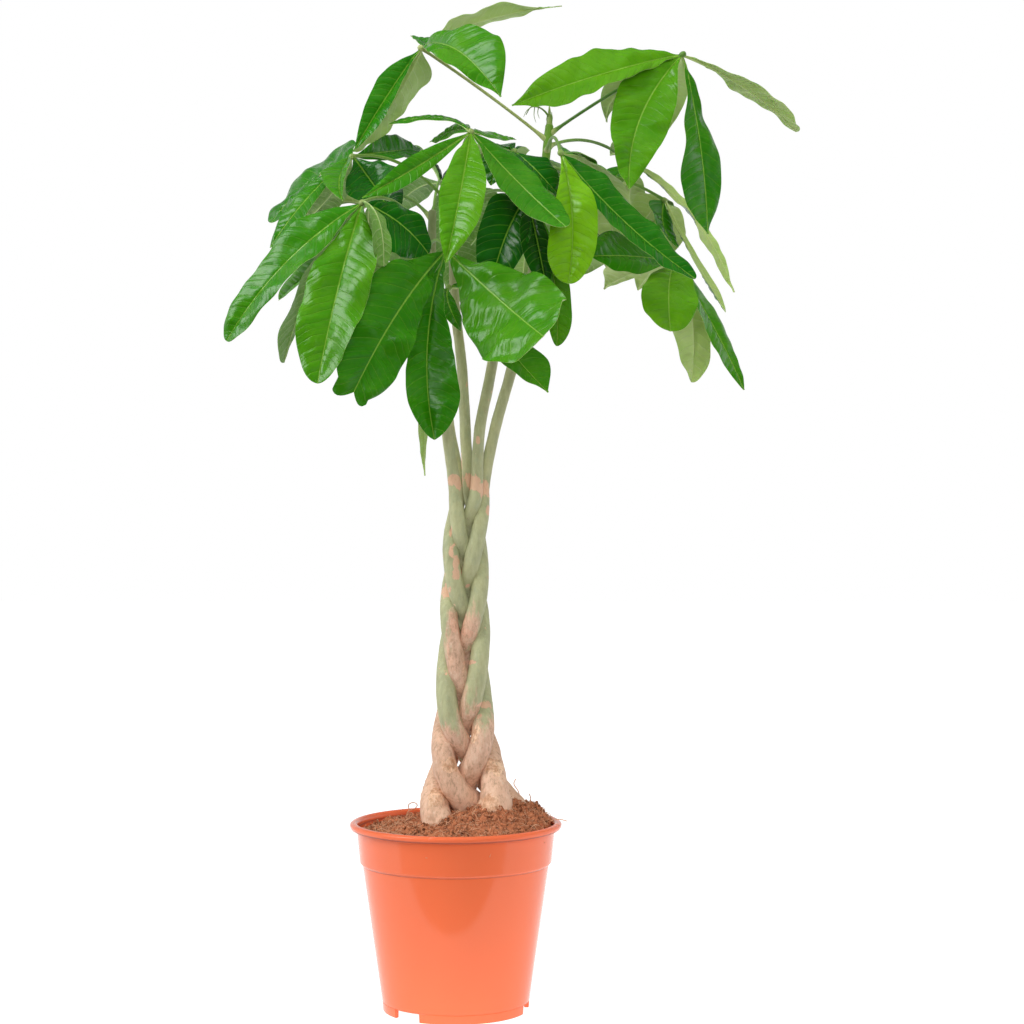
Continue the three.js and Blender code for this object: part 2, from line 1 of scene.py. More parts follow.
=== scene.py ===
"""Fine surfaces and finishes of a potted money tree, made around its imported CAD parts.

Lengths are metres in the finished meshes. Tables of places are millimetres from the pot's axis, as
in the part's source. The front of the plant faces -Y, and a place given as seen has u across and w
up on the upright plane through the pot's axis, and the depth y along the line of sight.
"""

import math
from typing import NamedTuple

import bpy
import numpy as np
from bpy.props import FloatProperty, FloatVectorProperty, IntProperty, PointerProperty
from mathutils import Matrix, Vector, noise


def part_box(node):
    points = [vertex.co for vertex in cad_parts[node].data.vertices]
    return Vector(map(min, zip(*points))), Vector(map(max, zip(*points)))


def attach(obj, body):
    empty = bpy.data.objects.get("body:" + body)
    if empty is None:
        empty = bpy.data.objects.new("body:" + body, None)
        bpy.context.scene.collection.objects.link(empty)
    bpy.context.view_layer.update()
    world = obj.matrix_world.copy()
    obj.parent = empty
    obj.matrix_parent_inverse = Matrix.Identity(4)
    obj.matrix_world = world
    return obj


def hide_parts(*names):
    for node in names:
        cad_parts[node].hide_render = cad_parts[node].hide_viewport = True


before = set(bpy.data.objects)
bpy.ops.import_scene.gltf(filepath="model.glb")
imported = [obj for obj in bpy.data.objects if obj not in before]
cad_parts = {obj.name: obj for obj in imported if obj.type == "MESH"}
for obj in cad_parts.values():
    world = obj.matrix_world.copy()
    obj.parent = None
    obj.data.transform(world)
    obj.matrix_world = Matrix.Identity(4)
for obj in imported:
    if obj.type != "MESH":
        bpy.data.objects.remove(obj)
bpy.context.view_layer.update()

bl_info = {
    "name": "Potted money tree",
    "version": (1, 0, 0),
    "blender": (4, 5, 0),
    "location": "View3D > Sidebar > Money tree",
    "description": "Builds the pot, soil, braided stems and leaves of a potted money tree",
    "category": "Add Mesh",
}

BODY = "root"
MM = 0.001

POT_LOW, POT_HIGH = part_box("pot")
POT_AXIS = np.array([(POT_LOW.x + POT_HIGH.x) / 2, (POT_LOW.y + POT_HIGH.y) / 2, 0.0])
POT_RADIUS = (POT_HIGH.x - POT_LOW.x) / 2
POT_HEIGHT = POT_HIGH.z

# Viewpoint, in millimetres from the pot's axis, and its lens and horizon in a square frame
EYE = np.array([45.0, -1853.0, 426.0])
FRAME_WIDTH_PX = 1024
FOCAL_PX = 2310
HORIZON_ROW_PX = 477
SENSOR_MM = 36.0


def seen(u, w, y):
    """A place as seen, in millimetres from the pot's axis."""
    return EYE + (np.array([u, 0.0, w]) - EYE) * (1 - y / EYE[1])


def in_frame(points):
    """Millimetres from the pot's axis to metres in the frame."""
    return np.asarray(points, float) * MM + POT_AXIS


def unit(vector):
    """The vector or vectors at length 1."""
    vector = np.asarray(vector, float)
    return vector / np.maximum(np.linalg.norm(vector, axis=-1, keepdims=True), 1e-12)


def smooth_step(low, high, value):
    """0 below low, 1 above high and a soft rise between."""
    t = np.clip((np.asarray(value, float) - low) / (high - low), 0, 1)
    return t * t * (3 - 2 * t)


# Node trees


class Value:
    """A socket of a node tree. Sums, products and powers of values add their Math nodes."""

    def __init__(self, tree, socket):
        self.tree = tree
        self.socket = socket

    def maths(self, operation, *values):
        """What a Math node makes of the values."""
        inputs = dict(enumerate(values))
        return add_node(self.tree, "ShaderNodeMath", {"operation": operation}, inputs)

    def __add__(self, other):
        return self.maths("ADD", self, other)

    def __sub__(self, other):
        return self.maths("SUBTRACT", self, other)

    def __mul__(self, other):
        return self.maths("MULTIPLY", self, other)

    def __pow__(self, other):
        return self.maths("POWER", self, other)

    def __radd__(self, other):
        return self.maths("ADD", other, self)

    def __rsub__(self, other):
        return self.maths("SUBTRACT", other, self)

    def __rmul__(self, other):
        return self.maths("MULTIPLY", other, self)

    def __abs__(self):
        return self.maths("ABSOLUTE", self)

    def fraction(self):
        """The part behind the point."""
        return self.maths("FRACT", self)

    def ramp(self, low, high, to_low=0.0, to_high=1.0):
        """A soft rise from to_low, at low, to to_high, at high."""
        soft = {"interpolation_type": "SMOOTHSTEP"}
        inputs = {0: self, 1: low, 2: high, 3: to_low, 4: to_high}
        return add_node(self.tree, "ShaderNodeMapRange", soft, inputs)


def add_node(tree, kind, settings=None, inputs=None, out=0):
    """Adds one node: its settings first, then its sockets' values or links. Returns an output."""
    node = tree.nodes.new(kind)
    for name, value in (settings or {}).items():
        if name == "stops":
            fill_ramp(node.color_ramp, value)
        else:
            setattr(node, name, value)
    for key, value in (inputs or {}).items():
        if isinstance(value, Value):
            tree.links.new(value.socket, node.inputs[key])
        else:
            node.inputs[key].default_value = value
    return Value(tree, node.outputs[out])


def fill_ramp(ramp, stops):
    """Puts the stops, each a place and a colour, on a colour ramp."""
    while len(ramp.elements) < len(stops):
        ramp.elements.new(1.0)
    for element, (place, colour) in zip(ramp.elements, stops):
        element.position = place
        element.color = (*colour, 1.0)


def parts_of(tree, vector):
    """The three numbers of a vector."""
    node = add_node(tree, "ShaderNodeSeparateXYZ", None, {0: vector}).socket.node
    return [Value(tree, socket) for socket in node.outputs]


class Finish:
    """A material under construction: its tree, its shader and the nodes that most finishes use."""

    def __init__(self, name, roughness, **constants):
        """Each constant goes to the shader's socket of that name, with _ written for a space."""
        self.material = bpy.data.materials.new(name)
        self.material.use_nodes = True
        self.tree = self.material.node_tree
        self.tree.nodes.clear()
        self.shader = self.tree.nodes.new("ShaderNodeBsdfPrincipled")
        output = self.tree.nodes.new("ShaderNodeOutputMaterial")
        self.tree.links.new(self.shader.outputs[0], output.inputs[0])
        self.shader.inputs["Roughness"].default_value = roughness
        for socket, value in constants.items():
            self.shader.inputs[socket.replace("_", " ")].default_value = value

    def node(self, kind, settings=None, inputs=None, out=0):
        """Adds a node to the material's tree."""
        return add_node(self.tree, kind, settings, inputs, out)

    def place(self):
        """The piece's own coordinates, in metres."""
        return self.node("ShaderNodeTexCoord", out="Object")

    def scaled(self, vector, *scale):
        """A vector with each of its three numbers scaled."""
        return self.node("ShaderNodeVectorMath", {"operation": "MULTIPLY"}, {0: vector, 1: scale})

    def stretched(self, upright):
        """Coordinates in which a pattern is drawn out upwards, the more the smaller the number."""
        return self.scaled(self.place(), 1.0, 1.0, upright)

    def parts(self, vector):
        """The three numbers of a vector."""
        return parts_of(self.tree, vector)

    def height(self):
        """The height over the pot's foot, in metres."""
        return self.parts(self.place())[2]

    def attribute(self, name, out="Fac"):
        """What the mesh stores under that name."""
        return self.node("ShaderNodeAttribute", {"attribute_name": name}, out=out)

    def noise(self, scale, detail=3.0, vector=None, roughness=0.55):
        """Cloudy noise, with so many clouds to the metre."""
        inputs = {
            "Vector": vector or self.place(),
            "Scale": scale,
            "Detail": detail,
            "Roughness": roughness,
        }
        return self.node("ShaderNodeTexNoise", None, inputs)

    def cells(self, scale, feature="F1"):
        """Distances in a pattern of cells: from the middle of each, or from its edge."""
        inputs = {"Vector": self.place(), "Scale": scale}
        return self.node("ShaderNodeTexVoronoi", {"feature": feature}, inputs, out="Distance")

    def mix(self, factor, low, high):
        """The colour low at factor 0 and high at factor 1, which the node has at 6 and 7."""
        low, high = (value if isinstance(value, Value) else (*value, 1.0) for value in (low, high))
        inputs = {0: factor, 6: low, 7: high}
        return self.node("ShaderNodeMix", {"data_type": "RGBA"}, inputs, out=2)

    def colours(self, factor, *stops):
        """A colour ramp from stops, each a place and a colour."""
        return self.node("ShaderNodeValToRGB", {"stops": stops}, {0: factor})

    def set(self, name, value):
        """Links a value to one of the shader's sockets."""
        self.tree.links.new(value.socket, self.shader.inputs[name])

    def bump(self, height, distance, strength, normal=None):
        """A normal that follows the height, on top of another normal if there is one."""
        inputs = {"Height": height, "Distance": distance, "Strength": strength}
        if normal:
            inputs["Normal"] = normal
        return self.node("ShaderNodeBump", None, inputs)


# Meshes


def new_object(name, data):
    """An object in the scene that holds a mesh, a light or a camera."""
    piece = bpy.data.objects.new(name, data)
    bpy.context.scene.collection.objects.link(piece)
    return piece


def new_mesh(name, points, faces, materials, face_materials=None):
    """A mesh from points in metres and faces, smooth, with its materials."""
    mesh = bpy.data.meshes.new(name)
    mesh.from_pydata(np.asarray(points).tolist(), [], faces)
    for material in materials:
        mesh.materials.append(material)
    if face_materials is not None:
        mesh.polygons.foreach_set("material_index", np.asarray(face_materials, np.int32))
    mesh.polygons.foreach_set("use_smooth", np.ones(len(mesh.polygons), bool))
    mesh.validate()
    return mesh


def put_attribute(mesh, name, kind, values):
    """Stores one value for each vertex."""
    attribute = mesh.attributes.new(name, kind, "POINT")
    key = "vector" if kind == "FLOAT_VECTOR" else "value"
    attribute.data.foreach_set(key, np.asarray(values, np.float32).ravel())


def places_of(mesh):
    """The mesh's vertices as an array of points."""
    flat = np.zeros(len(mesh.vertices) * 3, np.float32)
    mesh.vertices.foreach_get("co", flat)
    return flat.reshape(-1, 3).astype(float)


def finish_piece(piece, node):
    """Puts the piece under the body and hides the CAD part that it stands for."""
    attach(piece, BODY)
    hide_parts(node)


def modifier_inputs(modifier, values):
    """Sets a node tree's inputs by the identifier of each named socket."""
    for item in modifier.node_group.interface.items_tree:
        if item.item_type == "SOCKET" and item.in_out == "INPUT" and item.name in values:
            modifier[item.identifier] = values[item.name]


def run_tree(piece, tree, values):
    """Runs a node tree on a piece and keeps the result as its plain mesh."""
    modifier = piece.modifiers.new(tree.name, "NODES")
    modifier.node_group = tree
    modifier_inputs(modifier, values)
    piece.update_tag()
    bpy.context.view_layer.update()
    evaluated = piece.evaluated_get(bpy.context.evaluated_depsgraph_get())
    made = bpy.data.meshes.new_from_object(evaluated)
    piece.modifiers.remove(modifier)
    piece.data = made
    return piece


def new_tree(name, sockets):
    """A geometry node tree with a geometry and the named inputs, each with its type and default."""
    tree = bpy.data.node_groups.new(name, "GeometryNodeTree")
    tree.interface.new_socket("Geometry", in_out="INPUT", socket_type="NodeSocketGeometry")
    tree.interface.new_socket("Geometry", in_out="OUTPUT", socket_type="NodeSocketGeometry")
    for label, (kind, default) in sockets.items():
        socket = tree.interface.new_socket(label, in_out="INPUT", socket_type=kind)
        if default is not None:
            socket.default_value = default
    inputs = tree.nodes.new("NodeGroupInput")
    return tree, {socket.name: Value(tree, socket) for socket in inputs.outputs if socket.name}


def in_material(tree, geometry, material):
    """The geometry in its material."""
    return add_node(tree, "GeometryNodeSetMaterial", None, {0: geometry, "Material": material})


def end_tree(tree, geometry, material=None):
    """Realizes the instances, gives them their material and closes the tree."""
    geometry = add_node(tree, "GeometryNodeRealizeInstances", None, {0: geometry})
    geometry = add_node(tree, "GeometryNodeSetShadeSmooth", None, {0: geometry})
    if material:
        geometry = in_material(tree, geometry, material)
    output = tree.nodes.new("NodeGroupOutput")
    tree.links.new(geometry.socket, output.inputs[0])
    return tree


def grown(tree, vector, factor):
    """The vector times a number."""
    inputs = {0: vector, "Scale": factor}
    return add_node(tree, "ShaderNodeVectorMath", {"operation": "SCALE"}, inputs)


def ring_of(tree, sides, radius):
    """A ring, which a tube takes as its section."""
    inputs = {"Resolution": sides, "Radius": radius}
    return add_node(tree, "GeometryNodeCurvePrimitiveCircle", None, inputs)


def stored(tree, name):
    """The number that each point stores under that name."""
    return add_node(tree, "GeometryNodeInputNamedAttribute", {"data_type": "FLOAT"}, {0: name})


# How much more uneven a tube is where its knobs attribute is 1
KNOB_BOOST = 5.0


def tube_tree():
    """A round tube along each path, as thick as its points' radius, with an uneven skin."""
    number = "NodeSocketFloat"
    sockets = {
        "Sides": ("NodeSocketInt", 12),
        "Unevenness": (number, 0.0),
        "Lump size": (number, 0.01),
        "Material": ("NodeSocketMaterial", None),
    }
    tree, given = new_tree("tube along a path", sockets)
    path = add_node(tree, "GeometryNodeMeshToCurve", None, {0: given["Geometry"]})
    ring = ring_of(tree, given["Sides"], 1.0)
    inputs = {0: path, 1: ring, "Scale": stored(tree, "radius_m"), "Fill Caps": True}
    tube = add_node(tree, "GeometryNodeCurveToMesh", None, inputs)
    frequency = given["Lump size"] ** -1.0
    lumps = add_node(tree, "ShaderNodeTexNoise", None, {"Scale": frequency, "Detail": 2.0})
    knobs = stored(tree, "knobs")
    rise = (lumps - 0.5) * given["Unevenness"] * (1.0 + knobs * KNOB_BOOST)
    offset = grown(tree, add_node(tree, "GeometryNodeInputNormal"), rise)
    tube = add_node(tree, "GeometryNodeSetPosition", None, {0: tube, "Offset": offset})
    return end_tree(tree, tube, given["Material"])


def tubes(name, paths, material, sides=12, unevenness=0.0, lump_size=0.01):
    """One piece of tubes. Each path is its points in metres, their radii, and their attributes."""
    points = []
    edges = []
    radii = []
    marks = {}
    for path_points, path_radii, attributes in paths:
        first = len(points)
        points.extend(np.asarray(path_points).tolist())
        edges.extend((first + i, first + i + 1) for i in range(len(path_points) - 1))
        radii.extend(path_radii)
        for key, values in attributes.items():
            marks.setdefault(key, []).extend(values)
    mesh = bpy.data.meshes.new(name)
    mesh.from_pydata(points, edges, [])
    put_attribute(mesh, "radius_m", "FLOAT", radii)
    for key, values in marks.items():
        put_attribute(mesh, key, "FLOAT", values)
    values = {
        "Sides": sides,
        "Unevenness": unevenness,
        "Lump size": lump_size,
        "Material": material,
    }
    return run_tree(new_object(name, mesh), shared_tree("tube along a path", tube_tree), values)


def shared_tree(name, maker):
    """The node tree of that name, made once."""
    return bpy.data.node_groups.get(name) or maker()


def joined(name, pieces):
    """One piece from several, under a new name."""
    with bpy.context.temp_override(active_object=pieces[0], selected_editable_objects=pieces):
        bpy.ops.object.join()
    pieces[0].name = name
    pieces[0].data.name = name
    return pieces[0]


# A round end reaches this part of its radius past the path, and closes to this part of it
CAP_REACH = 0.8
CAP_TIP = 0.04


def capped(points, radii, steps=5):
    """A path with a round end added at each end, where the radius closes to nothing."""
    points = [np.asarray(p, float) for p in points]
    radii = list(radii)
    angles = [math.pi / 2 * k / steps for k in range(1, steps + 1)]
    for _ in range(2):
        end, radius = points[-1], radii[-1]
        out = unit(end - points[-2])
        points = points + [end + out * radius * CAP_REACH * math.sin(a) for a in angles]
        radii = radii + [max(radius * math.cos(a), radius * CAP_TIP) for a in angles]
        points.reverse()
        radii.reverse()
    return points, radii


# Pot: a glossy moulded plastic shell with a rolled rim, a collar and a slotted foot ring

BEAD_HEIGHT = 5.5
COLLAR_TOP_RADIUS = 79.5
COLLAR_LOW_RADIUS = 76.9
COLLAR_LOW_Z = 118.0
BODY_TOP_RADIUS = 74.8
BODY_TOP_Z = 116.4
FOOT_RADIUS = 58.8
FOOT_HEIGHT = 7.5
FOOT_WALL = 4.0
WALL = 1.6
FLOOR_Z = 9.5
SLOT_WIDTH = 25.8
SLOT_HEIGHT = 7.0
SLOT_AZIMUTHS = [-40.5, 79.5, 199.5]
# How far inside the foot ring's face a slot's cutter starts and ends, and how far a drain hole's
# cutter reaches over and under the floor
SLOT_REACH = (-6, 9)
DRAIN_RADIUS = 5.0
DRAIN_CIRCLE = 34.0
DRAIN_COUNT = 5
DRAIN_REACH = 6
# A rounding takes up at most this part of each side of its corner
ROUNDING_SHARE = 0.45
# Bands of painted shade under the rim's bead and at the collar's fold, in metres: where the dark
# starts and is full on the way up, and where it starts and is full on the way down
RIM_SHADE_BAND = (0.1435, 0.1447, 0.1465, 0.1452)
COLLAR_SHADE_BAND = (0.1157, 0.1162, 0.1175, 0.1166)
POT_SEGMENTS = 144
POT_SHARP_ANGLE = 32


def rounded_outline(corners, steps=4):
    """The outline through corners, each (radius, height, rounding), with the corners rounded."""
    outline = []
    places = [np.array(corner[:2], float) for corner in corners]
    for i, (place, (_, _, rounding)) in enumerate(zip(places, corners)):
        if rounding == 0 or i in (0, len(corners) - 1):
            outline.append(place)
            continue
        back = places[i - 1] - place
        ahead = places[i + 1] - place
        cut = min(rounding, *(ROUNDING_SHARE * np.linalg.norm(side) for side in (back, ahead)))
        start = place + unit(back) * cut
        end = place + unit(ahead) * cut
        for k in range(steps + 1):
            t = k / steps
            outline.append((1 - t) ** 2 * start + 2 * t * (1 - t) * place + t * t * end)
    return outline


def pot_outline(rim, height):
    """Half the pot's section in millimetres, from its underside's middle round to its floor."""
    bead = height - BEAD_HEIGHT
    return rounded_outline(
        [
            (0, FLOOR_Z - 2, 0),
            (FOOT_RADIUS - FOOT_WALL - 1, FLOOR_Z - 2, 0.5),
            (FOOT_RADIUS - FOOT_WALL, FLOOR_Z - 3, 0.5),
            (FOOT_RADIUS - FOOT_WALL, 0, 0.6),
            (FOOT_RADIUS - 0.3, 0, 0.9),
            (FOOT_RADIUS + 0.1, FOOT_HEIGHT - 0.5, 0.4),
            (FOOT_RADIUS - 0.25, FOOT_HEIGHT, 0.3),
            (FOOT_RADIUS + 0.3, FOOT_HEIGHT + 0.6, 0.5),
            (BODY_TOP_RADIUS, BODY_TOP_Z, 0.5),
            (COLLAR_LOW_RADIUS, COLLAR_LOW_Z, 1.0),
            (COLLAR_TOP_RADIUS, bead, 1.2),
            (rim - 1.6, bead - 0.1, 1.8),
            (rim, bead + 2.2, 2.2),
            (rim - 0.3, height - 1.2, 2.0),
            (rim - 2.6, height, 2.0),
            (COLLAR_TOP_RADIUS + 0.4, height - 0.1, 1.2),
            (COLLAR_TOP_RADIUS - 1.2, height - 2.2, 1.6),
            (COLLAR_LOW_RADIUS - WALL, COLLAR_LOW_Z, 1.5),
            (BODY_TOP_RADIUS - WALL, BODY_TOP_Z - 1, 1.2),
            (FOOT_RADIUS - WALL, FLOOR_Z + 0.6, 1.5),
            (0, FLOOR_Z, 0),
        ]
    )


def turned(name, outline, segments, material):
    """A closed mesh from an outline, in millimetres, that starts and ends on the axis."""
    points = [(0.0, 0.0, outline[0][1])]
    angles = np.linspace(0, 2 * math.pi, segments, endpoint=False)
    for radius, height in outline[1:-1]:
        points.extend((radius * math.cos(a), radius * math.sin(a), height) for a in angles)
    points.append((0.0, 0.0, outline[-1][1]))
    last = len(points) - 1
    rings = len(outline) - 2
    faces = []
    for i in range(segments):
        j = (i + 1) % segments
        faces.append((0, 1 + j, 1 + i))
        top = 1 + (rings - 1) * segments
        faces.append((last, top + i, top + j))
        for r in range(rings - 1):
            low = 1 + r * segments
            high = low + segments
            faces.append((low + i, low + j, high + j, high + i))
    return new_object(name, new_mesh(name, in_frame(points), faces, [material]))


def cutter(points, faces):
    """A closed mesh, in millimetres, that cuts another and is then removed."""
    return new_object("cutter", new_mesh("cutter", in_frame(points), faces, []))


def slot_cutter(azimuth):
    """A box across the foot ring at an azimuth in degrees from the front."""
    half = SLOT_WIDTH / 2
    outer, inner = (reach - FOOT_RADIUS for reach in SLOT_REACH)
    turn = math.radians(azimuth)
    points = []
    for z in (-SLOT_HEIGHT, SLOT_HEIGHT):
        for x, y in ((-half, outer), (half, outer), (half, inner), (-half, inner)):
            across = x * math.cos(turn) - y * math.sin(turn)
            away = x * math.sin(turn) + y * math.cos(turn)
            points.append((across, away, z))
    faces = [(3, 2, 1, 0), (4, 5, 6, 7), (0, 1, 5, 4), (1, 2, 6, 5), (2, 3, 7, 6), (3, 0, 4, 7)]
    return cutter(points, faces)


def drain_cutter(index, sides=32):
    """A round plug through the floor."""
    turn = 2 * math.pi * (index + 0.5) / DRAIN_COUNT
    points = []
    for z in (FLOOR_Z - DRAIN_REACH, FLOOR_Z + DRAIN_REACH):
        for k in range(sides):
            a = 2 * math.pi * k / sides
            x = DRAIN_CIRCLE * math.cos(turn) + DRAIN_RADIUS * math.cos(a)
            y = DRAIN_CIRCLE * math.sin(turn) + DRAIN_RADIUS * math.sin(a)
            points.append((x, y, z))
    faces = [tuple(range(sides))[::-1], tuple(range(sides, 2 * sides))]
    faces += [(k, (k + 1) % sides, sides + (k + 1) % sides, sides + k) for k in range(sides)]
    return cutter(points, faces)


def cut_out(piece, cutters):
    """Cuts closed meshes out of a piece and keeps the result as its plain mesh."""
    for tool in cutters:
        modifier = piece.modifiers.new("cut", "BOOLEAN")
        modifier.operation = "DIFFERENCE"
        modifier.solver = "EXACT"
        modifier.object = tool
    bpy.context.view_layer.update()
    evaluated = piece.evaluated_get(bpy.context.evaluated_depsgraph_get())
    made = bpy.data.meshes.new_from_object(evaluated)
    piece.modifiers.clear()
    piece.data = made
    for tool in cutters:
        bpy.data.objects.remove(tool)


def band(height, low, low_full, high, high_full):
    """1 within a band of heights and 0 past it, with soft edges."""
    return height.ramp(low, low_full) * height.ramp(high, high_full)


def shades(colour, darker, lighter):
    """Two shades of a colour."""
    return [c * darker for c in colour], [min(c * lighter, 1) for c in colour]


def pot_plastic(colour):
    """Glossy orange moulded plastic with a faint flow, fine dust, scuffs at the rim, and painted
    shade under the rim's bead and at the collar's fold.
    """
    finish = Finish(
        "pot plastic",
        0.16,
        Subsurface_Weight=0.06,
        Subsurface_Scale=0.003,
        Subsurface_Radius=(1.0, 0.35, 0.15),
        Specular_IOR_Level=0.33,
    )
    height = finish.height()
    flow = finish.noise(9.0, 2.0, finish.stretched(0.25))
    dust = finish.noise(420.0, 4.0)
    base = finish.mix(flow.ramp(0.35, 0.7), *shades(colour, 0.95, 1.04))
    scuff = finish.noise(85.0, 5.0).ramp(0.62, 0.76) * height.ramp(0.138, 0.149)
    base = finish.mix(scuff * 0.35, base, (0.86, 0.42, 0.28))
    soiled = finish.noise(60.0, 6.0).ramp(0.5, 0.75) * height.ramp(0.012, 0.002)
    base = finish.mix(soiled * 0.3, base, (0.42, 0.16, 0.07))
    # Painted shade: darker and rougher bands under the rim's bead and at the collar's fold
    shade = band(height, *RIM_SHADE_BAND) + band(height, *COLLAR_SHADE_BAND) * 0.6
    base = finish.mix(shade * 0.75, base, (0.32, 0.045, 0.015))
    finish.set("Base Color", base)
    finish.set("Roughness", dust.ramp(0.3, 0.75, 0.08, 0.13) + scuff * 0.25 + shade * 0.4)
    ripple = finish.noise(38.0, 1.0, finish.stretched(0.5))
    soft = finish.bump(ripple, 0.0006, 0.25)
    finish.set("Normal", finish.bump(dust, 0.00006, 0.25, soft))
    return finish.material


# Soil: coir and peat, heaped beside the stems, with crumbs and fibres on it

SOIL_LEVEL = 146.0
SOIL_SLOPE = 5 / 80
SOIL_RIM = 76.0
SOIL_GAP = 0.6
# Depth of the soil's upright edge, and the width of the strip inside it where the lumps die down
SOIL_EDGE = 12
SHORE_WIDTH = 5
SOIL_RINGS = 84
SOIL_SEGMENTS = 280
# Heaps on the soil: place across and away, height and spread
HEAPS = [(48, 18, 15, 38), (26, -32, 9.5, 28), (-22, -10, 6, 28)]

# Litter, counted to the square metre and measured in metres
CRUMB_DENSITY = 90000.0
CRUMB_SIZE = 0.0015
# The least and the greatest scale of a crumb's sides
CRUMB_SHAPES = ((0.8, 0.6, 0.5), (1.5, 1.1, 0.9))
FIBRE_DENSITY = 130000.0
FIBRE_RADIUS = 0.00022
FIBRE_LENGTH = 0.009
FIBRE_SIDES = 3
FIBRE_STEPS = 3
# A full turn in radians, and the turns between which fibres lie about
FULL_TURN = 6.3
FIBRE_TURNS = ((-1.3, -0.9, 0), (1.3, 0.9, FULL_TURN))
# How far along a fibre its bend is and how far the bend stands out, as parts of its length
FIBRE_BENDS = [(0.5, 0.3), (0.3, -0.4), (0.65, 0.16), (0.45, 0.55)]
FIBRE_COLOUR = (0.76, 0.44, 0.27)
# Long coir fibres that stick out: their radius in metres, their sides, the steps from each place to
# the next, and the places of each as seen
STRAY_RADIUS = 0.0004
STRAY_SIDES = 5
STRAY_STEPS = 6
STRAY_FIBRES = [
    [
        (-42, 147, 26), (-38, 158, 25), (-33, 160, 24), (-31, 163, 24), (-34, 165, 24),
        (-38, 163, 25), (-37, 158, 26),
    ],
    [
        (-44, 146, 27), (-40.5, 152, 27), (-37, 157, 26), (-33, 154.5, 24), (-29, 151, 22),
        (-26, 147, 20),
    ],
    [(70, 147, -8), (77, 150.5, -7), (83, 151.5, -6), (89, 150, -6)],
    [(52, 166, 12), (50, 174, 10), (46.5, 180, 8), (48, 184, 8)],
    [(56, 160, 10), (60, 167, 8), (59, 172, 8)],
    [(-66, 140, -20), (-60, 144, -22), (-54, 141, -26), (-50, 137, -28)],
    [(10, 140, -58), (16, 144, -60), (23, 142, -62), (28, 138, -62)],
    [(-20, 138, -52), (-14, 143, -54), (-9, 140, -56), (-4, 137, -56)],
    [(58, 143, -38), (64, 147, -38), (70, 144, -36), (74, 140, -34)],
]


def soil_top(x, y):
    """The soil's height at a place, in millimetres."""
    edge = np.maximum(1 - (np.hypot(x, y) / SOIL_RIM) ** 6, 0)
    heap = 0
    for across, away, height, spread in HEAPS:
        heap = heap + height * np.exp(-((x - across) ** 2 + (y - away) ** 2) / (2 * spread**2))
    lumps = 1.3 * np.sin(0.16 * x + 1) * np.sin(0.19 * y + 2)
    return SOIL_LEVEL + SOIL_SLOPE * x + heap * edge + lumps


def soil_lumps(x, y):
    """Clods and crumbs on the soil's top, in millimetres."""
    place = Vector((x * 0.09, y * 0.09, 4.0))
    clods = noise.fractal(place, 0.9, 2.1, 3)
    crumbs = noise.fractal(place * 4.0, 0.6, 2.3, 3)
    return 2.6 * clods + 2.2 * crumbs


def soil_body(material):
    """The soil as one closed body under its lumpy top. Its rings lie closer towards the edge."""
    walls = [
        (0.0, FLOOR_Z + 0.3),
        (FOOT_RADIUS - WALL - SOIL_GAP, FLOOR_Z + 0.3),
        (BODY_TOP_RADIUS - WALL - SOIL_GAP, BODY_TOP_Z - 1),
        (COLLAR_LOW_RADIUS - WALL - SOIL_GAP, COLLAR_LOW_Z),
        (SOIL_RIM, SOIL_LEVEL - SOIL_EDGE),
    ]
    steps = range(SOIL_RINGS + 1)
    top = [(SOIL_RIM * (1 - (i / SOIL_RINGS) ** 1.1), SOIL_LEVEL) for i in steps]
    piece = turned("soil_heap", walls + top, SOIL_SEGMENTS, material)
    mesh = piece.data
    places = (places_of(mesh) - POT_AXIS) / MM
    on_top = places[:, 2] > SOIL_LEVEL - 0.01
    for k in np.nonzero(on_top)[0]:
        x, y = places[k, :2]
        shore = smooth_step(SOIL_RIM, SOIL_RIM - SHORE_WIDTH, math.hypot(x, y))
        places[k, 2] = soil_top(x, y) + soil_lumps(x, y) * (0.35 + 0.65 * shore)
    mesh.vertices.foreach_set("co", in_frame(places).astype(np.float32).ravel())
    mesh.update()
    put_attribute(mesh, "scatter", "FLOAT", on_top.astype(float))
    return piece


def random_value(tree, kind, low, high, seed):
    """A random value for each point. The node has sockets of their own for FLOAT, INT and
    FLOAT_VECTOR."""
    first, out = {"FLOAT": (2, 1), "INT": (4, 2), "FLOAT_VECTOR": (0, 0)}[kind]
    inputs = {first: low, first + 1: high, "Seed": seed}
    return add_node(tree, "FunctionNodeRandomValue", {"data_type": kind}, inputs, out)


def strewn(tree, given, density, seed):
    """Points strewn over the marked part of the surface, and the way that it faces at each."""
    inputs = {0: given["Geometry"], "Density": density * stored(tree, "scatter"), "Seed": seed}
    node = add_node(tree, "GeometryNodeDistributePointsOnFaces", None, inputs).socket.node
    return Value(tree, node.outputs["Points"]), Value(tree, node.outputs["Rotation"])


def on_points(tree, inputs, material):
    """A copy of an instance on each point, in its material."""
    copies = add_node(tree, "GeometryNodeInstanceOnPoints", None, inputs)
    return in_material(tree, copies, material)


def together(tree, *geometries):
    """Several geometries as one."""
    node = add_node(tree, "GeometryNodeJoinGeometry").socket.node
    for geometry in geometries:
        tree.links.new(geometry.socket, node.inputs[0])
    return Value(tree, node.outputs[0])


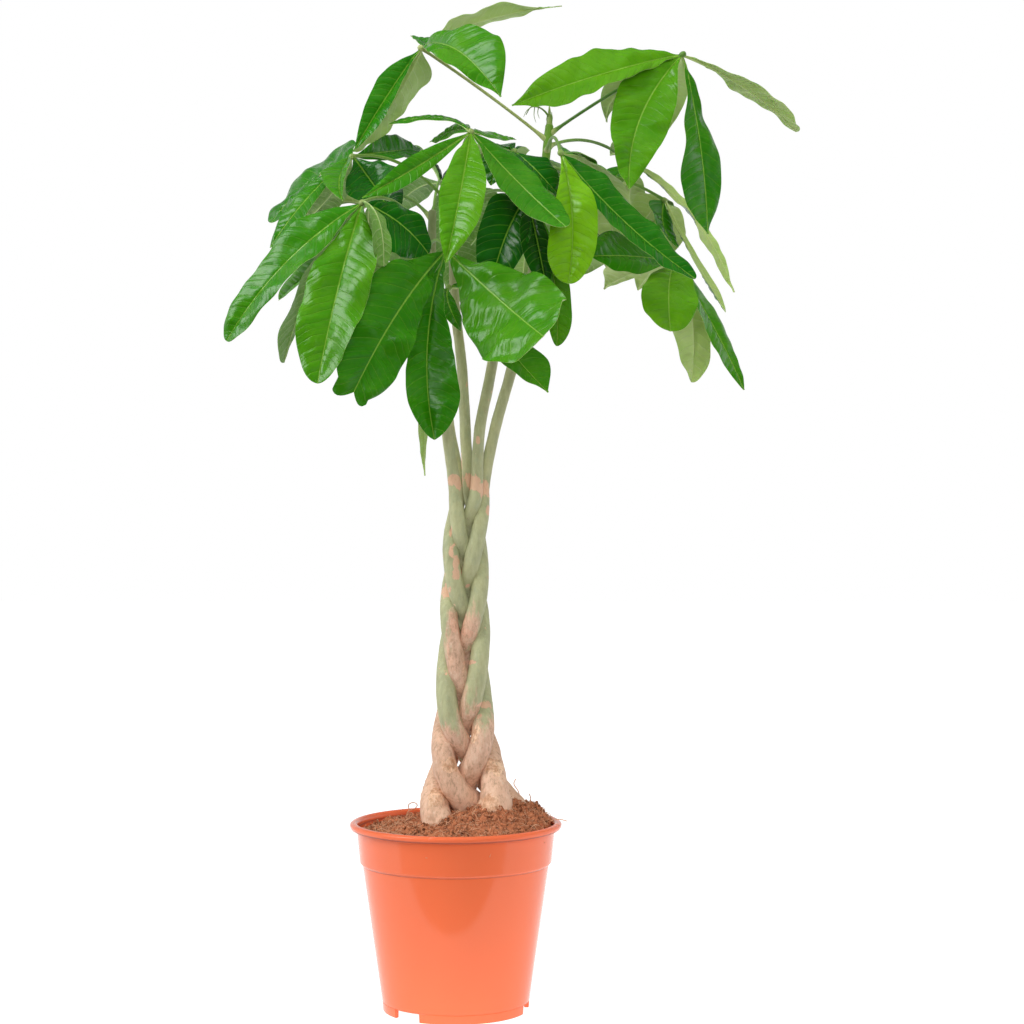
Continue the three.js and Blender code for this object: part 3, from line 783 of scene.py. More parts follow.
def crumbs(tree, given, seed):
    """Crumbs of uneven size and shape, most of them small."""
    points, _ = strewn(tree, given, given["Crumbs per square metre"], seed)
    crumb = add_node(tree, "GeometryNodeMeshIcoSphere", None, {"Radius": given["Crumb size"]})
    turn = random_value(tree, "FLOAT_VECTOR", (0, 0, 0), [FULL_TURN] * 3, seed + 1)
    size = random_value(tree, "FLOAT", 0.0, 1.0, seed + 2) ** 2.5 * 1.3 + 0.45
    shape = random_value(tree, "FLOAT_VECTOR", *CRUMB_SHAPES, seed + 3)
    inputs = {0: points, "Instance": crumb, "Rotation": turn, "Scale": grown(tree, shape, size)}
    return on_points(tree, inputs, given["Crumb material"])


def strand(tree, given, middle, bow):
    """A bent fibre of length 1 about the origin, as an instance."""
    ends = {
        "Resolution": FIBRE_STEPS,
        "Start": (-0.5, 0.0, 0.0),
        "Middle": (middle - 0.5, bow, 0.14),
        "End": (0.5, 0.1 * bow, 0.05),
    }
    curve = add_node(tree, "GeometryNodeCurveQuadraticBezier", None, ends)
    thin = given["Fibre radius"] * given["Fibre length"] ** -1.0
    inputs = {0: curve, 1: ring_of(tree, FIBRE_SIDES, thin), "Fill Caps": True}
    made = add_node(tree, "GeometryNodeCurveToMesh", None, inputs)
    return add_node(tree, "GeometryNodeGeometryToInstance", None, {0: made})


def fibres(tree, given, seed):
    """Bent fibres of uneven length, most of them short, lying about at random."""
    points, lie = strewn(tree, given, given["Fibres per square metre"], seed)
    strands = [strand(tree, given, *bend) for bend in FIBRE_BENDS]
    spin = random_value(tree, "FLOAT_VECTOR", *FIBRE_TURNS, seed + 1)
    settings = {"rotation_space": "LOCAL"}
    rotation = add_node(tree, "FunctionNodeRotateRotation", settings, {0: lie, 1: spin})
    length = random_value(tree, "FLOAT", 0.0, 1.0, seed + 2) ** 2.0 * 0.85 + 0.3
    inputs = {
        0: points,
        "Instance": together(tree, *strands),
        "Pick Instance": True,
        "Instance Index": random_value(tree, "INT", 0, len(FIBRE_BENDS) - 1, seed + 3),
        "Rotation": rotation,
        "Scale": length * given["Fibre length"],
    }
    return on_points(tree, inputs, given["Fibre material"])


def scatter_tree():
    """Crumbs and bent fibres strewn over the part of a surface that the scatter attribute marks."""
    number = "NodeSocketFloat"
    sockets = {
        "Crumbs per square metre": (number, CRUMB_DENSITY),
        "Crumb size": (number, CRUMB_SIZE),
        "Fibres per square metre": (number, FIBRE_DENSITY),
        "Fibre length": (number, FIBRE_LENGTH),
        "Fibre radius": (number, FIBRE_RADIUS),
        "Seed": ("NodeSocketInt", 7),
        "Crumb material": ("NodeSocketMaterial", None),
        "Fibre material": ("NodeSocketMaterial", None),
    }
    tree, given = new_tree("crumbs and fibres", sockets)
    litter = (fibres(tree, given, given["Seed"] + 10), crumbs(tree, given, given["Seed"]))
    return end_tree(tree, together(tree, *litter, given["Geometry"]))


def soil_finish(name, dark, light, scale):
    """Matt crumbly soil, mottled from dark to light."""
    finish = Finish(name, 0.95, Specular_IOR_Level=0.15)
    grain = finish.noise(scale, 6.0, roughness=0.7)
    patch = finish.noise(scale * 0.12, 3.0)
    tone = grain * 0.75 + patch * 0.35
    finish.set("Base Color", finish.colours(tone, (0.44, dark), (0.57, light)))
    finish.set("Normal", finish.bump(grain, 0.0012, 0.9))
    return finish.material


# Stems: five strands, plaited up to the braid's top and free above it

STEM_FOOT = 128.0
BRAID_TOP = 414.0
STEM_STEP = 2.2
STEM_SIDES = 28
# Steps from each place of a stem's free part to the next
FREE_STEPS = 18
STEM_LUMP_SIZE = 0.014
# The figure of eight that each strand runs along, seen from above: how deep its loops are, in
# strand radii, and how flat they are in front and behind
DEPTH_RATIO = 1.7
FLATNESS = 1.6
# How much thicker the strands are and how much closer they lie, and the heights where that ends
CLOSER = 0.8
CLOSER_END = (400, 440)
# Stems with a thicker foot, and the heights where it ends
FOOT_SWELL = {"c": 2.6}
FOOT_SWELL_END = (155, 185)
# Tables of the braid by height: the strands' turn in degrees, half its width, its middle, and the
# strands' radius. They are averaged over this many millimetres up and down
AVERAGED_OVER = 9
BRAID_TURN = [
    (118, 360), (140, 324), (163, 288), (185, 252), (208, 216), (228, 180), (254, 144), (288, 108),
    (316, 72), (338, 36), (365, 0), (389, -36), (414, -72),
]
BRAID_HALF_WIDTH = [
    (128, 38), (155, 34), (167, 30), (183, 23), (215, 18.4), (247, 15.2), (311, 14), (375, 12.4),
    (414, 12),
]
BRAID_MIDDLE = [
    (128, 14), (155, 14), (167, 12), (183, 8.5), (247, 6), (343, 7.5), (375, 7.5), (407, 10.4),
]
STRAND_RADIUS = [
    (128, 14), (150, 12.6), (167, 10.6), (199, 8.6), (247, 7.6), (311, 6.3), (375, 5.7), (407, 4.9),
    (470, 4.7),
]
# Each stem: its start in the braid in degrees, the radius at its tip, and its free part as seen
STEMS = {
    "a": (270, 3.6, [(-7, 463, -13), (-13, 544, -32), (-24, 610, -46), (-29, 632, -50)]),
    "b": (198, 3.4, [(-5, 464, 20), (-13, 528, 40), (-19, 600, 60), (-19, 638, 70)]),
    "c": (126, 3.6, [(19, 463, -14), (28, 510, -18), (38, 568, -20), (49, 650, -15)]),
    "d": (54, 3.4, [(31, 463, 10), (44, 510, 14), (58, 568, 18), (71, 672, 22), (75, 707, 25)]),
    "x": (342, 3.4, [(8, 456, 5), (5, 512, 9), (-1, 568, 6), (-3, 655, 0)]),
}
# Bare patches on the stems, as seen: u, w, half width and half height, all in millimetres
SCUFFS = [
    (0, 422, 6, 5.5), (13.6, 422, 6.5, 6.5), (24, 415.5, 6, 7.5), (25.7, 399, 1.5, 5),
    (17.6, 455, 2, 3), (4, 436, 1, 8), (-4, 383, 1.4, 4), (-3.2, 367, 2.4, 6), (0, 358, 3, 6),
    (0.8, 349, 3, 5), (-8, 334, 4.5, 5), (-10.4, 347, 2.5, 3), (9.6, 339, 2, 2.5), (9.6, 301, 6, 4),
    (-2, 307, 3, 6), (11.2, 277.5, 5.5, 1.8), (-8, 269.5, 2, 2.5), (22.5, 243, 6, 2.5),
    (18.4, 235, 2.5, 1.8),
]
# Peeled or scarred patches low on the stems, in the same numbers
SCARS = [
    (15, 221, 5, 8), (-4, 195, 6, 6), (32, 194, 7, 7), (26, 163, 9, 7), (-15, 168, 7, 9),
]
# How far from a patch's middle the bark is bare, and then unharmed, as parts of the patch's size,
# and how far behind the pot's axis patches still show
PATCH_EDGE = (0.3, 1.7)
PATCH_DEPTH = 4
# The height at which each stem's bark turns from green to tan, in millimetres
BARK_BORDERS = {"a": 256, "b": 231, "c": 300, "d": 227, "x": 302}
# Heights in metres between which the bark changes, going down: to knobbly cork and to a grimy foot,
# and going up: to painted shade under the crown and to the green shoot
CORK_HEIGHTS = (0.215, 0.165)
GRIME_HEIGHTS = (0.185, 0.155)
PAINTED_SHADE_HEIGHTS = (0.56, 0.63)
SHOOT_HEIGHTS = (0.655, 0.69)


def along(pairs, heights):
    """Values of a rising list of pairs at some heights, averaged over a stretch up and down."""
    table = np.array(pairs, float)
    offsets = np.linspace(-AVERAGED_OVER, AVERAGED_OVER, 7)
    values = [np.interp(np.asarray(heights) + d, table[:, 0], table[:, 1]) for d in offsets]
    return np.mean(values, axis=0)


def braid_points(start, heights):
    """A strand's centre in the braid. Seen from above it runs round a figure of eight."""
    angle = np.radians(start + along(BRAID_TURN, heights))
    front = np.tanh(FLATNESS * np.sin(2 * angle)) / math.tanh(FLATNESS)
    x = along(BRAID_MIDDLE, heights) + (along(BRAID_HALF_WIDTH, heights) - CLOSER) * np.cos(angle)
    y = -DEPTH_RATIO * along(STRAND_RADIUS, heights) * front
    return np.stack([x, y, heights], axis=1)


def smooth_path(points, steps):
    """Points along a smooth curve through the given ones, which keeps to short bends."""
    points = [np.asarray(p, float) for p in points]
    points = [2 * points[0] - points[1], *points, 2 * points[-1] - points[-2]]
    made = [points[1]]
    for p0, p1, p2, p3 in zip(points, points[1:], points[2:], points[3:]):
        d0, d1, d2 = (math.sqrt(np.linalg.norm(b - a)) for a, b in ((p0, p1), (p1, p2), (p2, p3)))
        out = ((p1 - p0) / d0 - (p2 - p0) / (d0 + d1) + (p2 - p1) / d1) * d1
        into = ((p2 - p1) / d1 - (p3 - p1) / (d1 + d2) + (p3 - p2) / d2) * d1
        for k in range(1, steps + 1):
            t = k / steps
            square = 3 * (p2 - p1) - 2 * out - into
            cube = 2 * (p1 - p2) + out + into
            made.append(p1 + out * t + square * t * t + cube * t**3)
    return made


def stem_path(key):
    """A stem's points and radii in millimetres, from its foot in the soil to its tip."""
    start, tip, free = STEMS[key]
    heights = np.arange(STEM_FOOT, BRAID_TOP + 1, STEM_STEP)
    braid = list(braid_points(start, heights))
    upper = smooth_path([braid[-5], braid[-1], *(seen(*place) for place in free)], FREE_STEPS)
    points = braid + [p for p in upper if p[2] > BRAID_TOP + 1]
    top = points[-1][2]
    radii = []
    for p in points:
        radius = float(along(STRAND_RADIUS, p[2])) + CLOSER * (1 - smooth_step(*CLOSER_END, p[2]))
        radius += FOOT_SWELL.get(key, 0) * (1 - smooth_step(*FOOT_SWELL_END, p[2]))
        if p[2] > BRAID_TOP:
            radius += (tip - radius) * (p[2] - BRAID_TOP) / (top - BRAID_TOP)
        radii.append(radius)
    return points, radii


def stem_at(key, height):
    """The stem's centre at a height, in millimetres."""
    points, _ = stem_path(key)
    places = np.array(points)
    return np.array([np.interp(height, places[:, 2], places[:, axis]) for axis in range(3)])


def scuff_marks(places, patches):
    """How bare the bark is at each place, from 0 to 1, on the side that the patches are seen on."""
    reach = (places - EYE) / (places[:, 1:2] - EYE[1])
    flat = EYE - reach * EYE[1]
    bare = np.zeros(len(places))
    for u, w, half_width, half_height in patches:
        across = (flat[:, 0] - u) / half_width
        up = (flat[:, 2] - w) / half_height
        bare = np.maximum(bare, 1 - smooth_step(*PATCH_EDGE, np.hypot(across, up)))
    return bare * (places[:, 1] < PATCH_DEPTH)


def bark(green, tan):
    """Sage green bark that turns to tan cork lower down, with bare peach patches and cracks, and
    painted shade of the crown towards its top.
    """
    finish = Finish("bark", 0.6, Specular_IOR_Level=0.3)
    height = finish.height()
    streaks = finish.noise(260.0, 4.0, finish.stretched(0.14))
    clouds = finish.noise(34.0, 4.0, roughness=0.65)
    fine = finish.noise(700.0, 4.0)
    scratch = finish.noise(150.0, 6.0, finish.stretched(0.45), roughness=0.7)
    grit = finish.noise(330.0, 5.0, finish.stretched(0.4), roughness=0.8)

    young = finish.mix(streaks.ramp(0.3, 0.72), *shades(green, 0.84, 1.1))
    young = finish.mix(clouds.ramp(0.42, 0.62) * 0.6, young, (0.5, 0.5, 0.28))
    young = finish.mix(scratch.ramp(0.52, 0.62) * 0.3, young, (0.32, 0.38, 0.25))
    old = finish.mix(streaks.ramp(0.28, 0.75), *shades(tan, 0.86, 1.08))
    old = finish.mix(clouds.ramp(0.42, 0.66) * 0.55, old, (0.8, 0.54, 0.4))
    old = finish.mix(scratch.ramp(0.54, 0.64) * 0.5, old, (0.42, 0.24, 0.15))
    old = finish.mix(height.ramp(*CORK_HEIGHTS) * 0.6, old, (0.84, 0.54, 0.37))
    patch = finish.noise(42.0, 5.0, finish.stretched(0.35), roughness=0.7)
    age = (finish.attribute("over_border") + (patch - 0.5) * 0.15).ramp(0.011, -0.011)
    colour = finish.mix(age, young, old)

    ragged = (finish.noise(170.0, 5.0, finish.stretched(0.5)) - 0.5) * 2.4
    bare = (finish.attribute("bare") + ragged).ramp(0.42, 0.6)
    colour = finish.mix(bare * 0.8, colour, (0.8, 0.46, 0.32))
    scar = (finish.attribute("scar") + ragged).ramp(0.4, 0.65)
    scar_tone = finish.noise(150.0, 6.0, roughness=0.7).ramp(0.36, 0.62)
    healed = finish.mix(scar_tone, (0.6, 0.3, 0.16), (1.0, 0.68, 0.46))
    colour = finish.mix(scar * 0.85, colour, healed)
    specks = finish.cells(330.0).ramp(0.16, 0.06) * finish.noise(60.0).ramp(0.5, 0.62)
    colour = finish.mix(specks * 0.6, colour, (0.76, 0.52, 0.38))

    grime = finish.noise(75.0, 6.0).ramp(0.54, 0.7) * height.ramp(*GRIME_HEIGHTS)
    colour = finish.mix(grime * 0.45, colour, (0.3, 0.15, 0.08))
    worn = 0.35 + 0.65 * age
    colour = finish.mix(grit.ramp(0.5, 0.36) * 0.46 * worn, colour, (0.24, 0.14, 0.08))
    colour = finish.mix(grit.ramp(0.52, 0.66) * 0.36 * worn, colour, (0.9, 0.78, 0.62))
    # Painted shade of the crown: the stems darken towards their tops
    colour = finish.mix(height.ramp(*PAINTED_SHADE_HEIGHTS) * 0.6, colour, (0.1, 0.16, 0.05))
    shoot = finish.mix(streaks, (0.09, 0.22, 0.02), (0.2, 0.36, 0.05))
    finish.set("Base Color", finish.mix(height.ramp(*SHOOT_HEIGHTS), colour, shoot))
    finish.set("Roughness", streaks.ramp(0.3, 0.7, 0.5, 0.66))

    rough = finish.noise(120.0, 6.0, finish.stretched(0.5), roughness=0.62)
    coarse = rough * age + specks * 0.4 + scar * scar_tone * 0.35 - bare * 0.2
    skin = finish.bump(coarse, 0.0012, 0.8)
    finish.set("Normal", finish.bump(streaks * 0.6 + fine * 0.3 + grit * 0.5, 0.0005, 0.8, skin))
    return finish.material


# Growing tip, in millimetres from its foot: how far the foot stands over the stem's end, the
# spindle's heights and radii, the places and heights of two scales beside it, and the first leaf,
# which is a bowed shoot with three hanging threads

BUD_LIFT = 2.4
SHOOT_STEPS = 6
SPINDLE = [(-4, 2.4), (-1, 2.7), (2, 2.3), (6, 1.5), (10, 1.15), (13, 0.7), (14.5, 0.3)]
BUD_SCALES = [(2.0, -0.8, 9.5), (-1.8, 0.9, 8.0)]
SHOOT = [(0, 0, 5), (-4, -2, 10), (-9, -3, 13), (-15, -3, 13), (-19, -3, 7)]
THREADS = [
    [(-12, -3, 13), (-12.5, -3.4, 6), (-11, -3.6, 0.5)],
    [(-9, -3, 12.6), (-9.5, -2.6, 8), (-8.2, -2.2, 4)],
    [(-15.5, -3, 12.5), (-18.5, -3.4, 10), (-21, -3.5, 5)],
]


def bud_parts():
    """The tip's tubes, each its places, its radii and its tone."""
    yield [(0, 0, z) for z, _ in SPINDLE], [radius for _, radius in SPINDLE], 0.75
    for x, y, height in BUD_SCALES:
        yield [(x * 0.6, y, 0), (x, y, height * 0.5), (x * 0.9, y, height)], [1.1, 0.8, 0.15], 0.6
    shoot = smooth_path(SHOOT, SHOOT_STEPS)
    yield shoot, np.linspace(0.9, 0.35, len(shoot)), 0.6
    for thread in THREADS:
        line = smooth_path(thread, SHOOT_STEPS)
        yield line, np.linspace(0.42, 0.16, len(line)), 0.7


# Leaves: a stalk and a hub each, with a fan of leaflets

LEAFLET_STATIONS = 72
# Power by which the stations crowd towards the tip, where a blade curls most
STATION_CROWDING = 1.35
LEAFLET_COLUMNS = [0.035, 0.09, 0.2, 0.34, 0.5, 0.66, 0.82, 0.94, 1.0]
LEAF_THICKNESS = 0.42
MIN_HALF_WIDTH = 0.9
VEIN_SPACING = 6.8
# How far ahead the lateral veins run: all the way, and more towards the edge
VEIN_SLANT = (0.42, 0.22)
# How high a blade is puffed up between two veins, and the first puff of its right half
PUFFS = (0.25, 1.5)
PUFF_COUNT = 64
RIGHT_PUFF = 30
# Creases across a blade, each a wavelength and a height, and the width that they are meant for
CREASES = ((46, 1.1), (27, 0.7), (15, 0.4))
CREASED_WIDTH = 42
# How far the edge droops and waves, as a part of the blade's half width
EDGE_WAVE = 0.05
BLADE_SHARP_ANGLE = 70
STALK_STATIONS = 30
STALK_RADIUS = 1.3
# How uneven a stalk's skin is and how large its lumps are, in metres
STALK_SKIN = (0.0004, 0.006)
HUB_RADIUS = 2.6
# How much thicker a stalk is at its foot and at its hub, and over what length
FOOT_BULGE = (1.5, 8)
HUB_BULGE = (0.55, 5)
FOOT_TONE = 0.95


class Leaflet(NamedTuple):
    """One leaflet, in millimetres and degrees. Its tip is given as seen."""

    u: float
    w: float
    y: float
    width: float
    # How far the midrib arches towards the upper side
    arch: float
    # How far the blade is turned about its midrib at the hub, and at the tip if that differs
    turn: float = 0
    turn_tip: float = None
    # How far it sways to its right, and the rise of its halves
    sway: float = 0
    fold: float = 16
    # How blunt the tip is and where the blade is widest
    blunt: float = 0.8
    peak: float = 0.56
    # How much wider its right half is, and how much nearer to the tip that half is widest
    uneven: float = 0
    skew: float = 0
    # How deep its tip is notched, its own tone if it has one, and how strongly it is creased
    notch: float = 0
    tone: float = None
    crumple: float = 1.0


class Leaf(NamedTuple):
    """One palmate leaf. Its tone runs from 0, deep green, to 1, yellow green; a low tone is partly
    the leaf's own colour and partly painted shade deep in the crown.
    """

    # The stem that carries it, the height of its node there, and its hub as seen
    stem: str
    node: float
    hub: tuple
    # The way its upper side faces, and how far its stalk bows up
    face: tuple
    bow: float
    tone: float
    leaflets: list
    stalk_tone: float = 0.5


LEAVES = {
    "leaf_top_left": Leaf("d", 699, (-28, 770, 5), (-0.35, -0.25, 1), 2, 0.45, [
        Leaflet(85, 804, 44, 44, 7, -22, -18, -19, 10, 1.15, 0.46, 0.08, -0.15, tone=0.5),
        Leaflet(36, 731, -89, 49, 19, 23, -1, 0, 19, 1.02, 0.62, -0.16, -0.04, tone=0.55),
        Leaflet(-36, 780, 71, 32, -5, 31, 22, 7, 20, 1.08, 0.58, 0.3, 0),
        Leaflet(-82, 687, -49, 28, 2, -14, -44, 0, 32, 1.13, 0.55, 0.02, -0.13, tone=0.4),
        Leaflet(-81, 687, 27, 58, -4, 28, 23, 3, 4, 0.5, 0.42, 0.22, -0.11, tone=0.5),
    ], stalk_tone=0.95),
    "leaf_top_right": Leaf("d", 704, (182, 765, 10), (0.2, -0.25, 1), 3, 0.55, [
        Leaflet(45, 724, -23, 50, 4, -27, -31, -2, 14, 1.06, 0.59, 0.01, -0.12, tone=0.65),
        Leaflet(139, 657, -62, 52, 0, -4, -6, 13, 14, 0.8, 0.4, 0, -0.07),
        Leaflet(202, 621, -23, 44, -1, -11, -10, -6, 8, 1.12, 0.7, 0.18, 0.1, tone=0.42),
        Leaflet(273, 703, 43, 44, 6, -15, -11, 3, 6, 0.43, 0.6, 0.05, 0.12, tone=0.6),
        Leaflet(121, 711, 95, 25, 1, 4, 23, -19, 0, 1.08, 0.34, -0.13, -0.14, tone=0.5),
        Leaflet(157, 690, 118, 36, 12),
    ], stalk_tone=0.2),
    "leaf_upper_left": Leaf("x", 642, (-83, 683, -25), (-0.5, -0.2, 1), 14, 0.4, [
        Leaflet(-148, 630, -3, 56, 7, -18, -9, 14, 4, 0.43, 0.33, 0.24, -0.13, tone=0.42),
        Leaflet(-149, 610, -68, 29, 5, -22, -20, -3, 4, 0.79, 0.72, -0.01, -0.14, tone=0.5),
        Leaflet(-91, 648, -111, 24, 3, -6, -7, 5, 28, 0.99, 0.37, 0.29, 0.02, tone=0.5),
        Leaflet(-28, 689, 57, 33, 0, 78, 39, 3, 22, 0.85, 0.61, -0.03, -0.14),
        Leaflet(-57, 646, -82, 53, -6, -9, 7, -2, 25, 0.71, 0.74, -0.03, -0.09, tone=0.28),
        Leaflet(-127, 627, 72, 26, -5, 52, 40, 1, 20, 0.95, 0.65, 0.23, -0.04, tone=0.1),
    ]),
    "leaf_upper_front": Leaf("x", 650, (12, 703, -80), (0, -0.5, 1), 10, 0.65, [
        Leaflet(-75, 650, -125, 19, 2, -36, -40, -6, 14, 0.97, 0.63, -0.02, -0.12, tone=0.55),
        Leaflet(-8, 598, -163, 37, 10, 5, -6, -3, 21, 0.83, 0.61, -0.17, -0.03, tone=0.75),
        Leaflet(88, 627, -134, 38, -9, 3, 1, -7, 5, 0.41, 0.4, 0.03, 0.14, tone=0.5),
        Leaflet(-21, 695, -14, 23, 4, -23, -26, 5, 2, 1.12, 0.68, 0.04, 0.01, tone=0.5),
        Leaflet(-54, 709, -40, 23, 4, 18, 1, 16, 0, 0.91, 0.75, 0.05, 0.1, tone=0.4),
        Leaflet(48, 697, -18, 20, 0, 14, 14, 0, 2, 1.02, 0.42, -0.11, -0.01, tone=0.5),
    ], stalk_tone=0.6),
    "leaf_small_centre": Leaf("c", 645, (47, 687, -41), (0.1, -0.4, 1), 4, 0.35, [
        Leaflet(84, 649, -54, 34, 4, -6, 17, 3, 13, 0.89, 0.4, -0.04, 0, tone=0.3),
        Leaflet(20, 686, 30, 28, 4),
        Leaflet(28, 660, -60, 28, 8),
        Leaflet(42, 672, 40, 30, 8),
    ]),
    "leaf_front_left": Leaf("a", 619, (-75, 646, -115), (-0.35, -0.6, 1), 12, 0.5, [
        Leaflet(-184, 535, -121, 43, 10, -19, -13, 1, 14, 0.43, 0.38, -0.03, -0.06, tone=0.4),
        Leaflet(-111, 501, -167, 54, 5, -14, -17, -1, 16, 0.47, 0.5, -0.05, 0.09, tone=0.6),
        Leaflet(-58, 595, -141, 29, 14, 130, 89, -7, 2, 0.45, 0.42, 0.03, -0.14, tone=0.0),
        Leaflet(-22, 605, -102, 52, 4, 10, 12, -3, 9, 0.66, 0.51, 0.26, 0.02, tone=0.3),
        Leaflet(-138, 518, -62, 37, 9, 39, 22, -3, 9, 0.52, 0.55, -0.12, -0.15, tone=0.22),
        Leaflet(-142, 568, -27, 20, -4, -66, -31, 0, 37, 0.47, 0.74, -0.13, 0.11),
    ], stalk_tone=0.6),
    "leaf_front": Leaf("a", 603, (-8, 608, -98), (0, -0.7, 1), 8, 0.25, [
        Leaflet(-86, 485, -160, 56, 12, -39, -35, -1, 9, 0.4, 0.62, 0.15, -0.15,
                notch=0.06, tone=0.32, crumple=1.9),
        Leaflet(-17, 456, -132, 44, -4, 13, 8, 10, 23, 0.6, 0.75, -0.23, -0.01,
                tone=0.42, crumple=1.8),
        Leaflet(70, 539, -198, 76, -9, 32, 39, -6, 1, 0.4, 0.74, 0.07, 0, tone=0.36, crumple=1.5),
        Leaflet(74, 494, -115, 39, -9, -11, -2, 0, 12, 1.1, 0.73, -0.03, -0.09, tone=0.45),
    ]),
    "leaf_front_low": Leaf("a", 578, (-6, 578, -62), (0.1, -0.6, 1), 6, 0.5, [
        Leaflet(-25, 427, -56, 27, -14, 87, 120, 8, 14, 1.06, 0.61, 0.03, 0.12),
        Leaflet(4, 543, -95, 19, 7, -18, -18, 6, 2, 0.79, 0.7, 0.09, -0.02),
        Leaflet(-52, 520, -70, 34, 10),
        Leaflet(30, 560, -45, 28, 8),
    ]),
    "leaf_centre": Leaf("c", 634, (57, 652, -68), (0.1, -0.6, 1), 4, 0.1, [
        Leaflet(29, 583, -80, 45, 11, -16, -14, -1, 24, 0.43, 0.45, 0.06, -0.11),
        Leaflet(81, 531, -70, 25, 6, 5, 1, -6, 14, 0.55, 0.64, 0.05, -0.15, tone=0.6),
        Leaflet(122, 606, -24, 34, 6),
        Leaflet(72, 581, -99, 26, 4, -5, 6, 1, 23, 0.41, 0.61, 0.25, 0.01, tone=0.15),
    ]),
    "leaf_right_front": Leaf("d", 690, (84, 686, -80), (0.2, -0.5, 1), 12, 0.45, [
        Leaflet(192, 585, -95, 40, -7, 12, 6, -3, 15, 0.42, 0.34, 0.03, 0.08, tone=0.44),
        Leaflet(90, 581, -115, 41, 4, 5, 6, -5, 20, 0.41, 0.66, 0.01, 0.11, tone=0.9),
        Leaflet(102, 660, -5, 30, 10),
        Leaflet(138, 632, 2, 30, 12),
    ]),
    "leaf_right_low": Leaf("d", 678, (176, 598, -15), (0.35, -0.35, 1), 16, 0.45, [
        Leaflet(108, 603, -67, 49, 3, 1, -36, -1, 10, 0.91, 0.62, 0.04, 0.05, tone=0.42),
        Leaflet(119, 577, 53, 32, 2, -6, 37, -7, 1, 1.15, 0.33, -0.34, -0.14, tone=0.6),
        Leaflet(172, 543, -92, 45, 8, 17, 9, 6, 11, 0.4, 0.73, 0, 0.05, tone=0.78),
        Leaflet(189, 502, 29, 42, 9, -53, -52, -4, 15, 0.46, 0.62, -0.3, 0.15, tone=0.6),
        Leaflet(231, 496, -28, 33, -1, -2, 9, -9, 10, 0.71, 0.35, 0.12, 0.14, tone=0.6),
        Leaflet(146, 576, 72, 36, 12),
    ]),
    "leaf_right_mid": Leaf("d", 668, (167, 648, 60), (0.4, 0.1, 1), 12, 0.5, [
        Leaflet(216, 558, 42, 21, -2, 205, 204, 5, -12, 0.65, 0.7, -0.15, 0.15),
        Leaflet(178, 610, 35, 29, -6, 1, 18, 2, 13, 0.64, 0.34, 0.23, -0.12, tone=0.55),
        Leaflet(146, 622, 120, 36, 10),
        Leaflet(163, 596, 132, 34, 12),
    ]),
    "leaf_right_back": Leaf("d", 694, (141, 677, 105), (0.3, 0.4, 1), 12, 0.5, [
        Leaflet(223, 574, 103, 36, 22, 231, 233, -13, -14, 1.14, 0.42, -0.34, -0.13, tone=0.6),
        Leaflet(116, 646, 66, 32, 5),
        Leaflet(124, 684, 178, 22, 8),
        Leaflet(132, 602, 186, 32, 12),
        Leaflet(118, 600, 204, 38, 12),
    ]),
    # The leaves at the back and low on the left have low tones, which are painted shade deep in the
    # crown
    "leaf_back_left": Leaf("b", 640, (-70, 645, 122), (-0.4, 0.4, 1), 14, 0.15, [
        Leaflet(-113, 574, 158, 42, 14),
        Leaflet(-58, 524, 172, 44, 14),
        Leaflet(-14, 566, 178, 42, 14),
        Leaflet(-102, 662, 196, 36, 12),
        Leaflet(-46, 640, 40, 34, 10),
        Leaflet(-128, 628, 116, 36, 12),
    ]),
    "leaf_back": Leaf("b", 632, (-12, 662, 152), (0, 0.5, 1), 14, 0.1, [
        Leaflet(-58, 628, 226, 40, 14),
        Leaflet(4, 566, 222, 46, 14),
        Leaflet(42, 610, 218, 42, 14),
        Leaflet(34, 680, 200, 34, 10),
        Leaflet(-48, 684, 186, 34, 10),
    ]),
    "leaf_back_centre": Leaf("x", 632, (58, 644, 128), (0.2, 0.5, 1), 18, 0.1, [
        Leaflet(98, 598, 196, 42, 14),
        Leaflet(50, 560, 178, 44, 14),
        Leaflet(112, 636, 176, 36, 12),
        Leaflet(12, 612, 176, 38, 12),
    ]),
    "leaf_back_right": Leaf("d", 644, (118, 606, 92), (0.4, 0.3, 1), 22, 0.2, [
        Leaflet(168, 556, 128, 40, 12),
        Leaflet(122, 592, 168, 38, 12),
        Leaflet(92, 584, 150, 36, 12),
        Leaflet(152, 590, 168, 32, 10),
    ]),
    "leaf_top_back": Leaf("d", 686, (92, 672, 142), (0.1, 0.5, 1), 16, 0.15, [
        Leaflet(62, 646, 222, 40, 14),
        Leaflet(116, 618, 228, 42, 14),
        Leaflet(72, 600, 206, 36, 12),
        Leaflet(92, 636, 84, 32, 5),
    ]),
    "leaf_left_low": Leaf("b", 612, (-88, 598, 38), (-0.5, 0.1, 1), 20, 0.2, [
        Leaflet(-112, 530, 6, 40, 12),
        Leaflet(-74, 502, 24, 42, 3),
        Leaflet(-128, 600, 88, 36, 12),
        Leaflet(-58, 540, 78, 38, 9),
    ]),
}


def blade_width(t, peak, blunt):
    """A blade's width along its midrib, as a share: a wedge at the hub and a round tip."""
    wedge = np.sin(np.pi / 2 * np.clip(t / peak, 0, 1)) ** 1.2
    round_end = np.sin(np.pi / 2 * np.clip((1 - t) / (1 - peak), 0, 1)) ** blunt
    return np.where(t < peak, wedge, round_end)


def turn_about(vectors, axes, angles):
    """Vectors turned about unit axes by angles in radians, a row each."""
    cos = np.cos(angles)[:, None]
    sin = np.sin(angles)[:, None]
    along_axis = np.sum(vectors * axes, axis=1, keepdims=True)
    return vectors * cos + np.cross(axes, vectors) * sin + axes * along_axis * (1 - cos)


